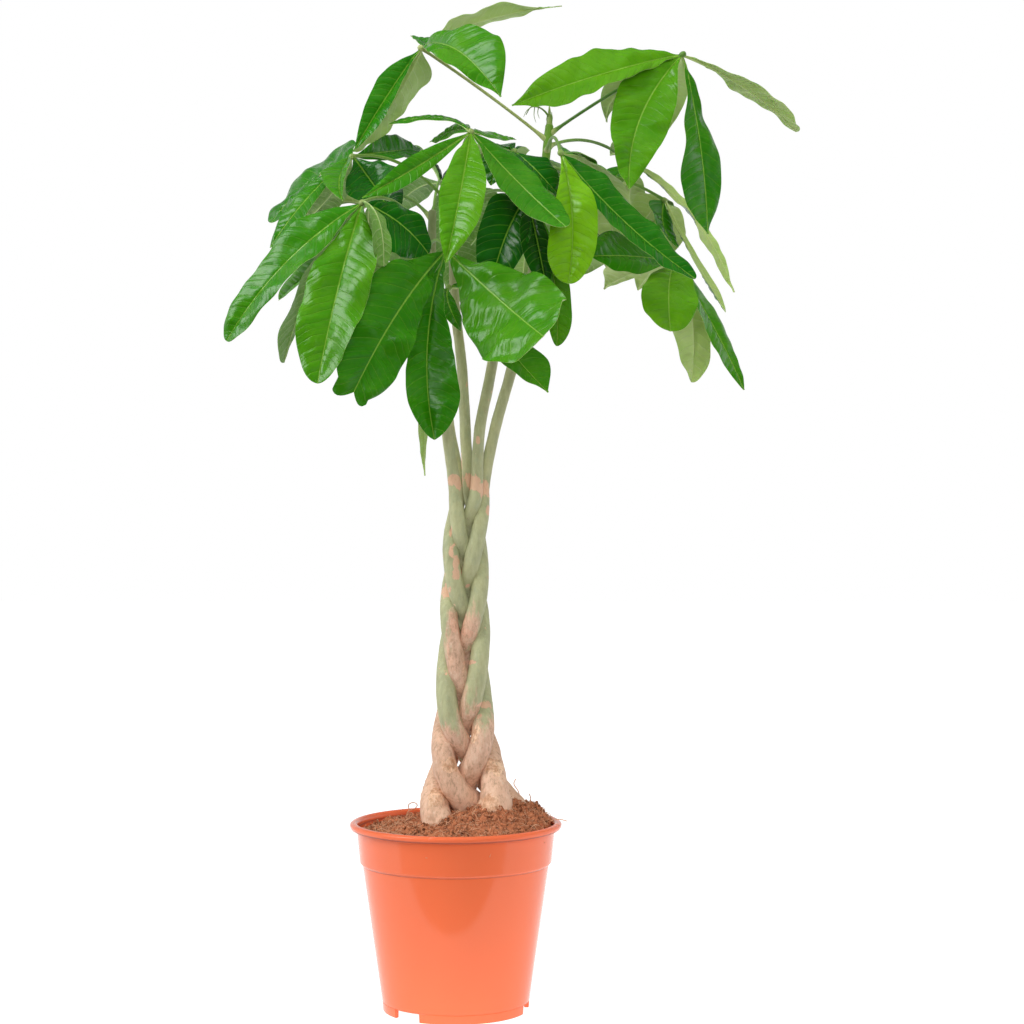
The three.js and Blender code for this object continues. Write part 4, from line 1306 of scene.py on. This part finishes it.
def blade_course(hub, face, row, t, chance):
    """A leaflet's midrib in millimetres, and from it the ways ahead, to the right and up."""
    end = seen(row.u, row.w, row.y)
    chord = end - hub
    way = unit(chord)
    rise = unit(face - way * (face @ way))
    right = np.cross(way, rise)
    middle = hub + chord / 2 + rise * 2 * row.arch + right * 2 * row.sway
    column = t[:, None]
    midrib = (1 - column) ** 2 * hub + 2 * column * (1 - column) * middle + column**2 * end
    ahead = unit(2 * (1 - column) * (middle - hub) + 2 * column * (end - middle))
    up = unit(face - ahead * (ahead @ face)[:, None])
    turn_tip = row.turn if row.turn_tip is None else row.turn_tip
    turns = row.turn + (turn_tip - row.turn) * t
    turns = turns + 3 * np.sin(2 * math.pi * (t + chance.random())) * t
    up = turn_about(up, ahead, np.radians(turns))
    return midrib, ahead, np.cross(ahead, up), up


def blade_halves(row, column, sign):
    """How wide each half of a blade is at each station, in millimetres."""
    part = blade_width(column, row.peak + sign * row.skew, row.blunt)
    if row.notch:
        part = np.maximum(part, 0.5 * smooth_step(0.7, 0.9, column))
    return np.maximum(row.width / 2 * (1 + sign * row.uneven) * part, MIN_HALF_WIDTH)


def blade_relief(row, phase, across, half, along_mm, body, chance):
    """How far a blade is puffed up between its veins and creased, in millimetres."""
    reach = np.abs(across)
    between_veins = 1 - (2 * (phase - np.floor(phase)) - 1) ** 2
    inside = np.sin(math.pi * np.clip(reach, 0, 1) ** 0.75)
    numbers = np.floor(phase).astype(int) + 2 + RIGHT_PUFF * (across > 0)
    puffs = chance.uniform(*PUFFS, PUFF_COUNT)[np.clip(numbers, 0, PUFF_COUNT - 1)]
    relief = puffs * between_veins * inside * body
    crumple = row.crumple * min(row.width / CREASED_WIDTH, 1.2) ** 2
    for wavelength, height in CREASES:
        heading = chance.uniform(-1.2, 1.2)
        run = along_mm * math.cos(heading) + across * half * math.sin(heading)
        crease = np.sin(2 * math.pi * (run / wavelength + chance.random()))
        relief = relief + crumple * height * crease * body * smooth_step(0.05, 0.5, reach)
    return relief


def steps_along(values, directions):
    """One step for each point of a grid: its value along its station's direction."""
    return values[:, :, None] * directions[:, None, :]


def blade(hub, face, row, tone, chance):
    """A leaflet as grids of upper and lower points in millimetres, with what its finish reads."""
    t = 1 - (1 - np.linspace(0, 1, LEAFLET_STATIONS + 1)) ** STATION_CROWDING
    column = t[:, None]
    midrib, ahead, side, up = blade_course(hub, face, row, t, chance)
    length = float(np.sum(np.linalg.norm(np.diff(midrib, axis=0), axis=1)))
    across = np.array([-c for c in LEAFLET_COLUMNS[::-1]] + [0.0] + LEAFLET_COLUMNS)[None, :]
    reach = np.abs(across)
    edge = reach**3
    half = blade_halves(row, column, np.sign(across))

    along_mm = column * length
    phase = (along_mm - VEIN_SLANT[0] * half * reach - VEIN_SLANT[1] * half * edge) / VEIN_SPACING
    phase = phase + 0.2 * np.sin(1.9 * phase + 6 * chance.random()) + 0.35 * (across > 0)
    body = smooth_step(0, 0.12, column) * (1 - smooth_step(0.9, 1, column))
    relief = blade_relief(row, phase, across, half, along_mm, body, chance)

    waves = chance.uniform(1.6, 3.0)
    shifts = chance.random(2)
    sway = np.sin(2 * math.pi * (waves * column + np.where(across > 0, shifts[0], shifts[1])))
    droop = -EDGE_WAVE * half * edge + EDGE_WAVE * half * edge * sway * body
    lean = math.radians(row.fold)
    lift = half * math.sin(lean) * (1.25 * reach - 0.25 * edge)
    scallop = 1 + 0.02 * sway * (reach > 0.99)
    flat_part = half * math.cos(lean) * across * scallop
    upper = midrib[:, None, :] + steps_along(flat_part, side)
    upper = upper + steps_along(lift + droop + relief, up)
    if row.notch:
        back = -row.notch * length * (1 - reach) ** 2 * smooth_step(0.6, 1.0, column)
        back = back - 0.03 * length * reach**5 * smooth_step(0.7, 1.0, column)
        upper = upper + steps_along(back, ahead)

    groove = 0.35 * np.exp(-((across * half / 0.8) ** 2)) * (1 - 0.7 * column)
    ridge_width = 1.3 * (1 - column) + 0.45
    ridge = (1.25 * (1 - column) ** 0.8 + 0.25) * np.exp(-((across * half / ridge_width) ** 2))
    thickness = LEAF_THICKNESS * (1 - 0.45 * edge) + ridge
    lower = upper - steps_along(thickness, up)
    upper = upper - steps_along(groove, up)

    shape = upper.shape[:2]
    facts = {
        "across": across * half,
        "along": along_mm,
        "vein": phase,
        "edge": reach,
        "part": column,
        "tone": tone + chance.normal(0, 0.07),
    }
    return upper, lower, {key: np.broadcast_to(value, shape) for key, value in facts.items()}


def blade_faces(rows, columns, first):
    """Faces and their materials of a closed blade: its upper grid, its lower grid and its edge."""
    size = rows * columns

    def upper(i, j):
        return first + i * columns + j

    def lower(i, j):
        return upper(i, j) + size

    faces = []
    for i in range(rows - 1):
        for j in range(columns - 1):
            faces.append((upper(i, j), upper(i, j + 1), upper(i + 1, j + 1), upper(i + 1, j)))
    for i in range(rows - 1):
        for j in range(columns - 1):
            faces.append((lower(i, j), lower(i + 1, j), lower(i + 1, j + 1), lower(i, j + 1)))
    border = [(0, j) for j in range(columns)]
    border += [(i, columns - 1) for i in range(1, rows)]
    border += [(rows - 1, j) for j in range(columns - 2, -1, -1)]
    border += [(i, 0) for i in range(rows - 2, 0, -1)]
    for here, there in zip(border, border[1:] + border[:1]):
        faces.append((upper(*there), upper(*here), lower(*here), lower(*there)))
    side_count = (rows - 1) * (columns - 1)
    materials = [0] * side_count + [1] * (len(faces) - side_count)
    return faces, materials


def leaf_blades(name, leaf, hub, materials, chance):
    """All leaflets of a leaf as one piece."""
    points = []
    faces = []
    face_materials = []
    facts = {}
    for row in leaf.leaflets:
        tone = leaf.tone if row.tone is None else row.tone
        upper, lower, fact = blade(hub, unit(leaf.face), row, tone, chance)
        more, more_materials = blade_faces(*upper.shape[:2], len(points))
        points.extend(upper.reshape(-1, 3))
        points.extend(lower.reshape(-1, 3))
        faces.extend(more)
        face_materials.extend(more_materials)
        for key, values in fact.items():
            facts.setdefault(key, []).append(np.tile(values.ravel(), 2))
    mesh = new_mesh(name, in_frame(points), faces, materials, face_materials)
    mesh.set_sharp_from_angle(angle=math.radians(BLADE_SHARP_ANGLE))
    facts = {key: np.concatenate(values) for key, values in facts.items()}
    blade_place = np.stack([facts["across"] * MM, facts["along"] * MM, facts["vein"]], axis=1)
    put_attribute(mesh, "blade_place", "FLOAT_VECTOR", blade_place)
    for key in ("edge", "part", "tone"):
        put_attribute(mesh, key, "FLOAT", facts[key])
    return new_object(name, mesh)


def bulge(distances, height, length):
    """A round bulge: its height where the distance is nothing, dying down over the length."""
    return height * np.exp(-((distances / length) ** 2))


def leaf_stalk(leaf, hub, material):
    """The leaf's stalk, thick at both ends and pale at its foot, and the hub of its leaflets."""
    base = stem_at(leaf.stem, leaf.node)
    middle = (base + hub) / 2 + np.array([0, 0, 2 * leaf.bow])
    t = np.linspace(0, 1, STALK_STATIONS)[:, None]
    path = (1 - t) ** 2 * base + 2 * t * (1 - t) * middle + t * t * hub
    run = np.linalg.norm(hub - base)
    from_base = t[:, 0] * run
    swelling = bulge(from_base, *FOOT_BULGE) + bulge(run - from_base, *HUB_BULGE)
    points, radii = capped(in_frame(path), (STALK_RADIUS + swelling) * MM)
    from_foot = np.linalg.norm(np.array(points) - np.array(points[0]), axis=1) / MM
    tone = leaf.stalk_tone
    tones = tone + (FOOT_TONE - tone) * bulge(from_foot - 6, 1, 5)
    out = unit(path[-1] - path[-2])
    knob = [hub - out * HUB_RADIUS * 0.4, hub, hub + out * HUB_RADIUS * 0.4]
    knob_radii = [HUB_RADIUS * 0.9 * MM, HUB_RADIUS * MM, HUB_RADIUS * 0.9 * MM]
    knob_points, knob_radii = capped(in_frame(knob), knob_radii)
    paths = [
        (points, radii, {"tone": tones}),
        (knob_points, knob_radii, {"tone": [tone + 0.15] * len(knob_points)}),
    ]
    return tubes("stalk", paths, material, 12, *STALK_SKIN)


def vein_lines(finish):
    """Masks of a blade's midrib and lateral veins, and how far a place is from a lateral vein."""
    across, _, vein = finish.parts(finish.attribute("blade_place", "Vector"))
    from_midrib = abs(across)
    midrib = (from_midrib + finish.attribute("part") * 0.0004).ramp(0.0011, 0.0005)
    from_lateral = abs((vein + 0.5).fraction() - 0.5)
    lateral = from_lateral.ramp(0.075, 0.02) * from_midrib.ramp(0.0, 0.002)
    return midrib, lateral, from_lateral


def leaf_upper(deep, fresh):
    """The glossy upper side: deep to fresh green by tone, whose low end also paints shade in the
    crown, quilted between sunken pale veins.
    """
    finish = Finish(
        "leaf upper side",
        0.25,
        Subsurface_Weight=0.06,
        Subsurface_Scale=0.0008,
        Subsurface_Radius=(0.3, 1.0, 0.05),
        Specular_IOR_Level=0.38,
    )
    midrib, lateral, from_lateral = vein_lines(finish)
    clouds = finish.noise(34.0, 3.0)
    mottle = finish.noise(420.0, 4.0)
    ramp = [(0.0, deep), (0.3, (0.005, 0.115, 0.001)), (0.5, fresh), (1.0, (0.16, 0.39, 0.004))]
    tone = finish.attribute("tone") + (clouds - 0.5) * 0.3 + (mottle - 0.5) * 0.12
    colour = finish.colours(tone, *ramp)
    lighter = finish.mix(0.3, colour, (0.16, 0.36, 0.03))
    colour = finish.mix(lateral * 0.75, colour, lighter)
    colour = finish.mix(finish.attribute("edge").ramp(0.985, 1.0) * 0.5, colour, lighter)
    finish.set("Base Color", finish.mix(midrib * 0.75, colour, (0.22, 0.42, 0.05)))
    finish.set("Roughness", clouds.ramp(0.3, 0.7, 0.13, 0.23) + mottle * 0.05)
    net = finish.cells(620.0, "DISTANCE_TO_EDGE").ramp(0.0, 0.12)
    squeezed = finish.scaled(finish.attribute("blade_place", "Vector"), 0.5, 1.0, 0.02)
    crinkled = finish.bump(finish.noise(120.0, 2.0, squeezed, roughness=0.4), 0.001, 0.4)
    pillow = from_lateral.ramp(0.02, 0.34) * finish.noise(60.0, 2.0).ramp(0.35, 0.65)
    height = net * 0.06 + mottle * 0.05 - lateral * 0.6 - midrib * 0.6 + pillow * 0.4
    finish.set("Normal", finish.bump(height, 0.0006, 0.7, crinkled))
    return finish.material


def leaf_under(pale, fresh):
    """The matt underside: pale grey green with raised, paler veins, dimmed on leaves of low tone as
    painted shade deep in the crown.
    """
    finish = Finish(
        "leaf underside",
        0.55,
        Subsurface_Weight=0.15,
        Subsurface_Scale=0.001,
        Subsurface_Radius=(0.5, 1.0, 0.12),
        Specular_IOR_Level=0.35,
    )
    midrib, lateral, _ = vein_lines(finish)
    mottle = finish.noise(500.0, 4.0)
    # Leaves of low tone get dimmer undersides: painted shade deep in the crown
    dim = finish.mix(0.75, pale, fresh)
    colour = finish.mix(finish.attribute("tone").ramp(0.5, 0.1), pale, dim)
    colour = finish.mix((finish.noise(40.0, 3.0) - 0.3) * 0.5, colour, dim)
    colour = finish.mix(mottle.ramp(0.4, 0.7) * 0.2, colour, (0.4, 0.5, 0.22))
    colour = finish.mix(lateral * 0.35, colour, (0.5, 0.6, 0.3))
    finish.set("Base Color", finish.mix(midrib * 0.7, colour, (0.52, 0.62, 0.28)))
    net = finish.cells(620.0, "DISTANCE_TO_EDGE").ramp(0.0, 0.14)
    height = lateral * 0.7 + midrib * 0.5 - net * 0.2 + mottle * 0.15
    finish.set("Normal", finish.bump(height, 0.0005, 0.6))
    return finish.material


def leaf_stalk_finish():
    """Smooth stalks, dark green to pale by tone, with fine lengthwise streaks."""
    finish = Finish("leaf stalk", 0.4)
    streaks = finish.noise(520.0, 3.0, finish.stretched(0.3))
    tone = finish.attribute("tone") + (streaks - 0.5) * 0.35
    ramp = [(0.0, (0.03, 0.12, 0.015)), (0.5, (0.13, 0.26, 0.04)), (1.0, (0.4, 0.46, 0.17))]
    finish.set("Base Color", finish.colours(tone, *ramp))
    finish.set("Normal", finish.bump(streaks, 0.0002, 0.6))
    return finish.material


def stalk_material():
    """The stalks' finish, made once."""
    return bpy.data.materials.get("leaf stalk") or leaf_stalk_finish()


# Settings that a user would change


class PotSettings(bpy.types.PropertyGroup):
    """Sizes and colour of the pot."""

    rim_radius: FloatProperty(
        name="Rim radius",
        description="Radius of the rolled rim",
        default=POT_RADIUS,
        unit="LENGTH",
    )
    height: FloatProperty(
        name="Height",
        description="Height of the pot over its foot",
        default=POT_HEIGHT,
        unit="LENGTH",
    )
    colour: FloatVectorProperty(
        name="Plastic colour",
        description="Colour of the moulded plastic",
        default=(0.9, 0.178, 0.07),
        subtype="COLOR",
    )


class SoilSettings(bpy.types.PropertyGroup):
    """Colours and litter of the soil."""

    dark: FloatVectorProperty(
        name="Dark colour",
        description="Colour of the soil in its hollows",
        default=(0.08, 0.028, 0.013),
        subtype="COLOR",
    )
    light: FloatVectorProperty(
        name="Light colour",
        description="Colour of dry crumbs",
        default=(0.54, 0.2, 0.096),
        subtype="COLOR",
    )
    fibre_length: FloatProperty(
        name="Fibre length",
        description="Length of the longest coir fibres",
        default=FIBRE_LENGTH,
        unit="LENGTH",
    )
    seed: IntProperty(name="Seed", description="Picks where crumbs and fibres lie", default=7)


class StemSettings(bpy.types.PropertyGroup):
    """Colours and skin of the stems."""

    green: FloatVectorProperty(
        name="Young bark",
        description="Colour of the bark above the braid's foot",
        default=(0.44, 0.455, 0.26),
        subtype="COLOR",
    )
    tan: FloatVectorProperty(
        name="Old bark",
        description="Colour of the corky bark near the soil",
        default=(0.72, 0.45, 0.31),
        subtype="COLOR",
    )
    unevenness: FloatProperty(
        name="Unevenness",
        description="How far the skin rises and falls",
        default=0.0009,
        unit="LENGTH",
    )


class LeafSettings(bpy.types.PropertyGroup):
    """Colours of the leaves."""

    deep: FloatVectorProperty(
        name="Deep green",
        description="Upper side of the oldest leaves",
        default=(0.0015, 0.032, 0.0012),
        subtype="COLOR",
    )
    fresh: FloatVectorProperty(
        name="Fresh green",
        description="Upper side of younger leaves",
        default=(0.03, 0.19, 0.002),
        subtype="COLOR",
    )
    pale: FloatVectorProperty(
        name="Underside",
        description="Pale green of the undersides",
        default=(0.41, 0.55, 0.16),
        subtype="COLOR",
    )
    seed: IntProperty(name="Seed", description="Picks the small waves of each leaflet", default=11)


class MoneyTreeSettings(bpy.types.PropertyGroup):
    """All settings of the plant."""

    pot: PointerProperty(type=PotSettings)
    soil: PointerProperty(type=SoilSettings)
    stems: PointerProperty(type=StemSettings)
    leaves: PointerProperty(type=LeafSettings)


# Operators, one for each group of like pieces


class MONEYTREE_OT_pot(bpy.types.Operator):
    """Builds the plastic pot"""

    bl_idname = "moneytree.pot"
    bl_label = "Pot"

    def execute(self, context):
        settings = context.scene.money_tree.pot
        outline = pot_outline(settings.rim_radius / MM, settings.height / MM)
        piece = turned("nursery_pot", outline, POT_SEGMENTS, pot_plastic(settings.colour))
        tools = [slot_cutter(azimuth) for azimuth in SLOT_AZIMUTHS]
        tools += [drain_cutter(i) for i in range(DRAIN_COUNT)]
        cut_out(piece, tools)
        if not piece.data.polygons:
            raise RuntimeError("the pot lost its mesh when its slots were cut")
        piece.data.polygons.foreach_set("use_smooth", np.ones(len(piece.data.polygons), bool))
        piece.data.set_sharp_from_angle(angle=math.radians(POT_SHARP_ANGLE))
        finish_piece(piece, "pot")
        return {"FINISHED"}


class MONEYTREE_OT_soil(bpy.types.Operator):
    """Builds the soil with its crumbs and fibres"""

    bl_idname = "moneytree.soil"
    bl_label = "Soil"

    def execute(self, context):
        settings = context.scene.money_tree.soil
        ground = soil_finish("soil", settings.dark, settings.light, 330.0)
        crumb = soil_finish("soil crumbs", settings.dark, settings.light, 260.0)
        fibre = soil_finish("coir fibre", [c * 0.8 for c in settings.light], FIBRE_COLOUR, 140.0)
        piece = soil_body(ground)
        values = {
            "Fibre length": settings.fibre_length,
            "Seed": settings.seed,
            "Crumb material": crumb,
            "Fibre material": fibre,
        }
        run_tree(piece, shared_tree("crumbs and fibres", scatter_tree), values)
        paths = []
        for places in STRAY_FIBRES:
            points = in_frame(smooth_path([seen(*place) for place in places], STRAY_STEPS))
            paths.append((points, [STRAY_RADIUS] * len(points), {}))
        piece = joined("soil_heap", [piece, tubes("stray_fibres", paths, fibre, STRAY_SIDES)])
        if len(piece.data.materials) < 3:
            raise RuntimeError("the soil has no crumbs or fibres")
        finish_piece(piece, "soil")
        return {"FINISHED"}


class MONEYTREE_OT_stems(bpy.types.Operator):
    """Builds the five plaited stems"""

    bl_idname = "moneytree.stems"
    bl_label = "Stems"

    def execute(self, context):
        settings = context.scene.money_tree.stems
        material = bark(settings.green, settings.tan)
        for key in STEMS:
            points, radii = stem_path(key)
            points, radii = capped(in_frame(points), np.array(radii) * MM)
            heights = np.array(points)[:, 2]
            marks = {
                "over_border": heights - BARK_BORDERS[key] * MM,
                "knobs": smooth_step(*CORK_HEIGHTS, heights),
            }
            paths = [(points, radii, marks)]
            skin = (STEM_SIDES, settings.unevenness, STEM_LUMP_SIZE)
            piece = tubes("bark_" + key, paths, material, *skin)
            places = (places_of(piece.data) - POT_AXIS) / MM
            put_attribute(piece.data, "bare", "FLOAT", scuff_marks(places, SCUFFS))
            put_attribute(piece.data, "scar", "FLOAT", scuff_marks(places, SCARS))
            finish_piece(piece, "stem_" + key)
        return {"FINISHED"}


class MONEYTREE_OT_bud(bpy.types.Operator):
    """Builds the growing tip with its first young leaf"""

    bl_idname = "moneytree.bud"
    bl_label = "Bud"

    def execute(self, context):
        points, _ = stem_path("d")
        foot = points[-1] + np.array([0, 0, BUD_LIFT])
        paths = []
        for places, radii, tone in bud_parts():
            line, radii = capped(in_frame(foot + np.array(places)), np.array(radii) * MM, 3)
            paths.append((line, radii, {"tone": [tone] * len(line)}))
        finish_piece(tubes("growing_tip", paths, stalk_material()), "bud")
        return {"FINISHED"}


class MONEYTREE_OT_leaves(bpy.types.Operator):
    """Builds every palmate leaf"""

    bl_idname = "moneytree.leaves"
    bl_label = "Leaves"

    def execute(self, context):
        settings = context.scene.money_tree.leaves
        upper = leaf_upper(settings.deep, settings.fresh)
        under = leaf_under(settings.pale, settings.fresh)
        chance = np.random.default_rng(settings.seed)
        for name, leaf in LEAVES.items():
            hub = seen(*leaf.hub)
            blades = leaf_blades(name + "_blades", leaf, hub, [upper, under], chance)
            stalk = leaf_stalk(leaf, hub, stalk_material())
            piece = joined(name.replace("leaf", "palm"), [blades, stalk])
            finish_piece(piece, name)
        return {"FINISHED"}


class MONEYTREE_OT_stage(bpy.types.Operator):
    """Sets the pale floor, the soft light and the camera"""

    bl_idname = "moneytree.stage"
    bl_label = "Stage"

    def execute(self, context):
        scene = context.scene
        make_camera(scene)
        make_floor()
        make_world(scene)
        for name, light in LIGHTS.items():
            make_light(name, *light)
        scene.view_settings.view_transform = "Standard"
        scene.view_settings.look = "None"
        return {"FINISHED"}


# Corners of the floor in metres. It ends a hand's breadth in front of the pot, past what is seen
FLOOR = [(-3, -0.05, 0), (3, -0.35, 0), (3, 6, 0), (-3, 6, 0)]
# Square lights: place, what they point at, side in metres, watts and whether gloss shows them
LIGHTS = {
    "key": ((-1.8, -0.6, 1.8), (0.0, 0.0, 0.5), 1.5, 38.0, True),
    "top": ((0.2, -0.2, 2.3), (0.0, 0.0, 0.4), 1.4, 22.0, False),
    "fill": ((0.3, -2.3, 0.9), (0.0, 0.0, 0.4), 1.6, 36.0, False),
}


def make_camera(scene):
    """The viewer's eye, level and square to the plant."""
    data = bpy.data.cameras.new("view")
    data.sensor_width = SENSOR_MM
    data.lens = SENSOR_MM * FOCAL_PX / FRAME_WIDTH_PX
    data.shift_y = (HORIZON_ROW_PX - FRAME_WIDTH_PX / 2) / FRAME_WIDTH_PX
    camera = new_object("view", data)
    camera.location = in_frame(EYE)
    camera.rotation_euler = (math.pi / 2, 0, 0)
    scene.camera = camera


def make_floor():
    """A lit white table."""
    glow = {"Emission_Color": (1.0, 1.0, 1.0, 1.0), "Emission_Strength": 1.02}
    finish = Finish("pale floor", 0.7, Specular_IOR_Level=0.0, **glow)
    grain = finish.noise(3.0, 2.0)
    finish.set("Base Color", finish.mix(grain, (0.3, 0.3, 0.3), (0.33, 0.33, 0.33)))
    new_object("floor", new_mesh("floor", FLOOR, [(0, 1, 2, 3)], [finish.material]))


def make_world(scene):
    """Soft light, bright behind and beside the plant and dim on the viewer's side. What the camera
    sees past the floor is plain white."""
    world = bpy.data.worlds.new("studio")
    world.use_nodes = True
    tree = world.node_tree
    tree.nodes.clear()
    x, y, z = parts_of(tree, add_node(tree, "ShaderNodeTexCoord", out="Generated"))
    backdrop = (y.ramp(-0.4, 0.5) * 0.75 + abs(x).ramp(0.5, 0.95) * 0.4) * z.ramp(0.75, 0.15)
    light = 0.06 + backdrop + z.ramp(0.2, 1.0) * 0.1
    seen_straight = add_node(tree, "ShaderNodeLightPath", out="Is Camera Ray")
    strength = light + seen_straight * (1.0 - light)
    background = add_node(tree, "ShaderNodeBackground", None, {0: (1, 1, 1, 1), 1: strength})
    output = tree.nodes.new("ShaderNodeOutputWorld")
    tree.links.new(background.socket, output.inputs[0])
    scene.world = world


def make_light(name, place, target, size, power, in_gloss):
    """A soft square light that points at its target."""
    data = bpy.data.lights.new(name, "AREA")
    data.shape = "SQUARE"
    data.size = size
    data.energy = power
    lamp = new_object(name, data)
    lamp.location = Vector(place)
    lamp.rotation_euler = (Vector(target) - Vector(place)).to_track_quat("-Z", "Y").to_euler()
    lamp.visible_glossy = in_gloss


BUILDERS = (
    MONEYTREE_OT_stage,
    MONEYTREE_OT_pot,
    MONEYTREE_OT_soil,
    MONEYTREE_OT_stems,
    MONEYTREE_OT_bud,
    MONEYTREE_OT_leaves,
)


class MONEYTREE_PT_parts(bpy.types.Panel):
    """Lists the plant's settings and builders"""

    bl_idname = "MONEYTREE_PT_parts"
    bl_label = "Money tree"
    bl_space_type = "VIEW_3D"
    bl_region_type = "UI"
    bl_category = "Money tree"

    def draw(self, context):
        settings = context.scene.money_tree
        for group in (settings.pot, settings.soil, settings.stems, settings.leaves):
            box = self.layout.box()
            for name in group.bl_rna.properties.keys():
                if name not in ("rna_type", "name"):
                    box.prop(group, name)
        for builder in BUILDERS:
            self.layout.operator(builder.bl_idname)


CLASSES = (
    PotSettings,
    SoilSettings,
    StemSettings,
    LeafSettings,
    MoneyTreeSettings,
    *BUILDERS,
    MONEYTREE_PT_parts,
)


def register():
    """Makes the settings, the builders and the panel known."""
    for item in CLASSES:
        bpy.utils.register_class(item)
    bpy.types.Scene.money_tree = PointerProperty(type=MoneyTreeSettings)


def unregister():
    """Takes them away again."""
    del bpy.types.Scene.money_tree
    for item in reversed(CLASSES):
        bpy.utils.unregister_class(item)


def main():
    """Builds everything."""
    register()
    for builder in BUILDERS:
        group, name = builder.bl_idname.split(".")
        getattr(getattr(bpy.ops, group), name)()


if __name__ == "__main__":
    main()
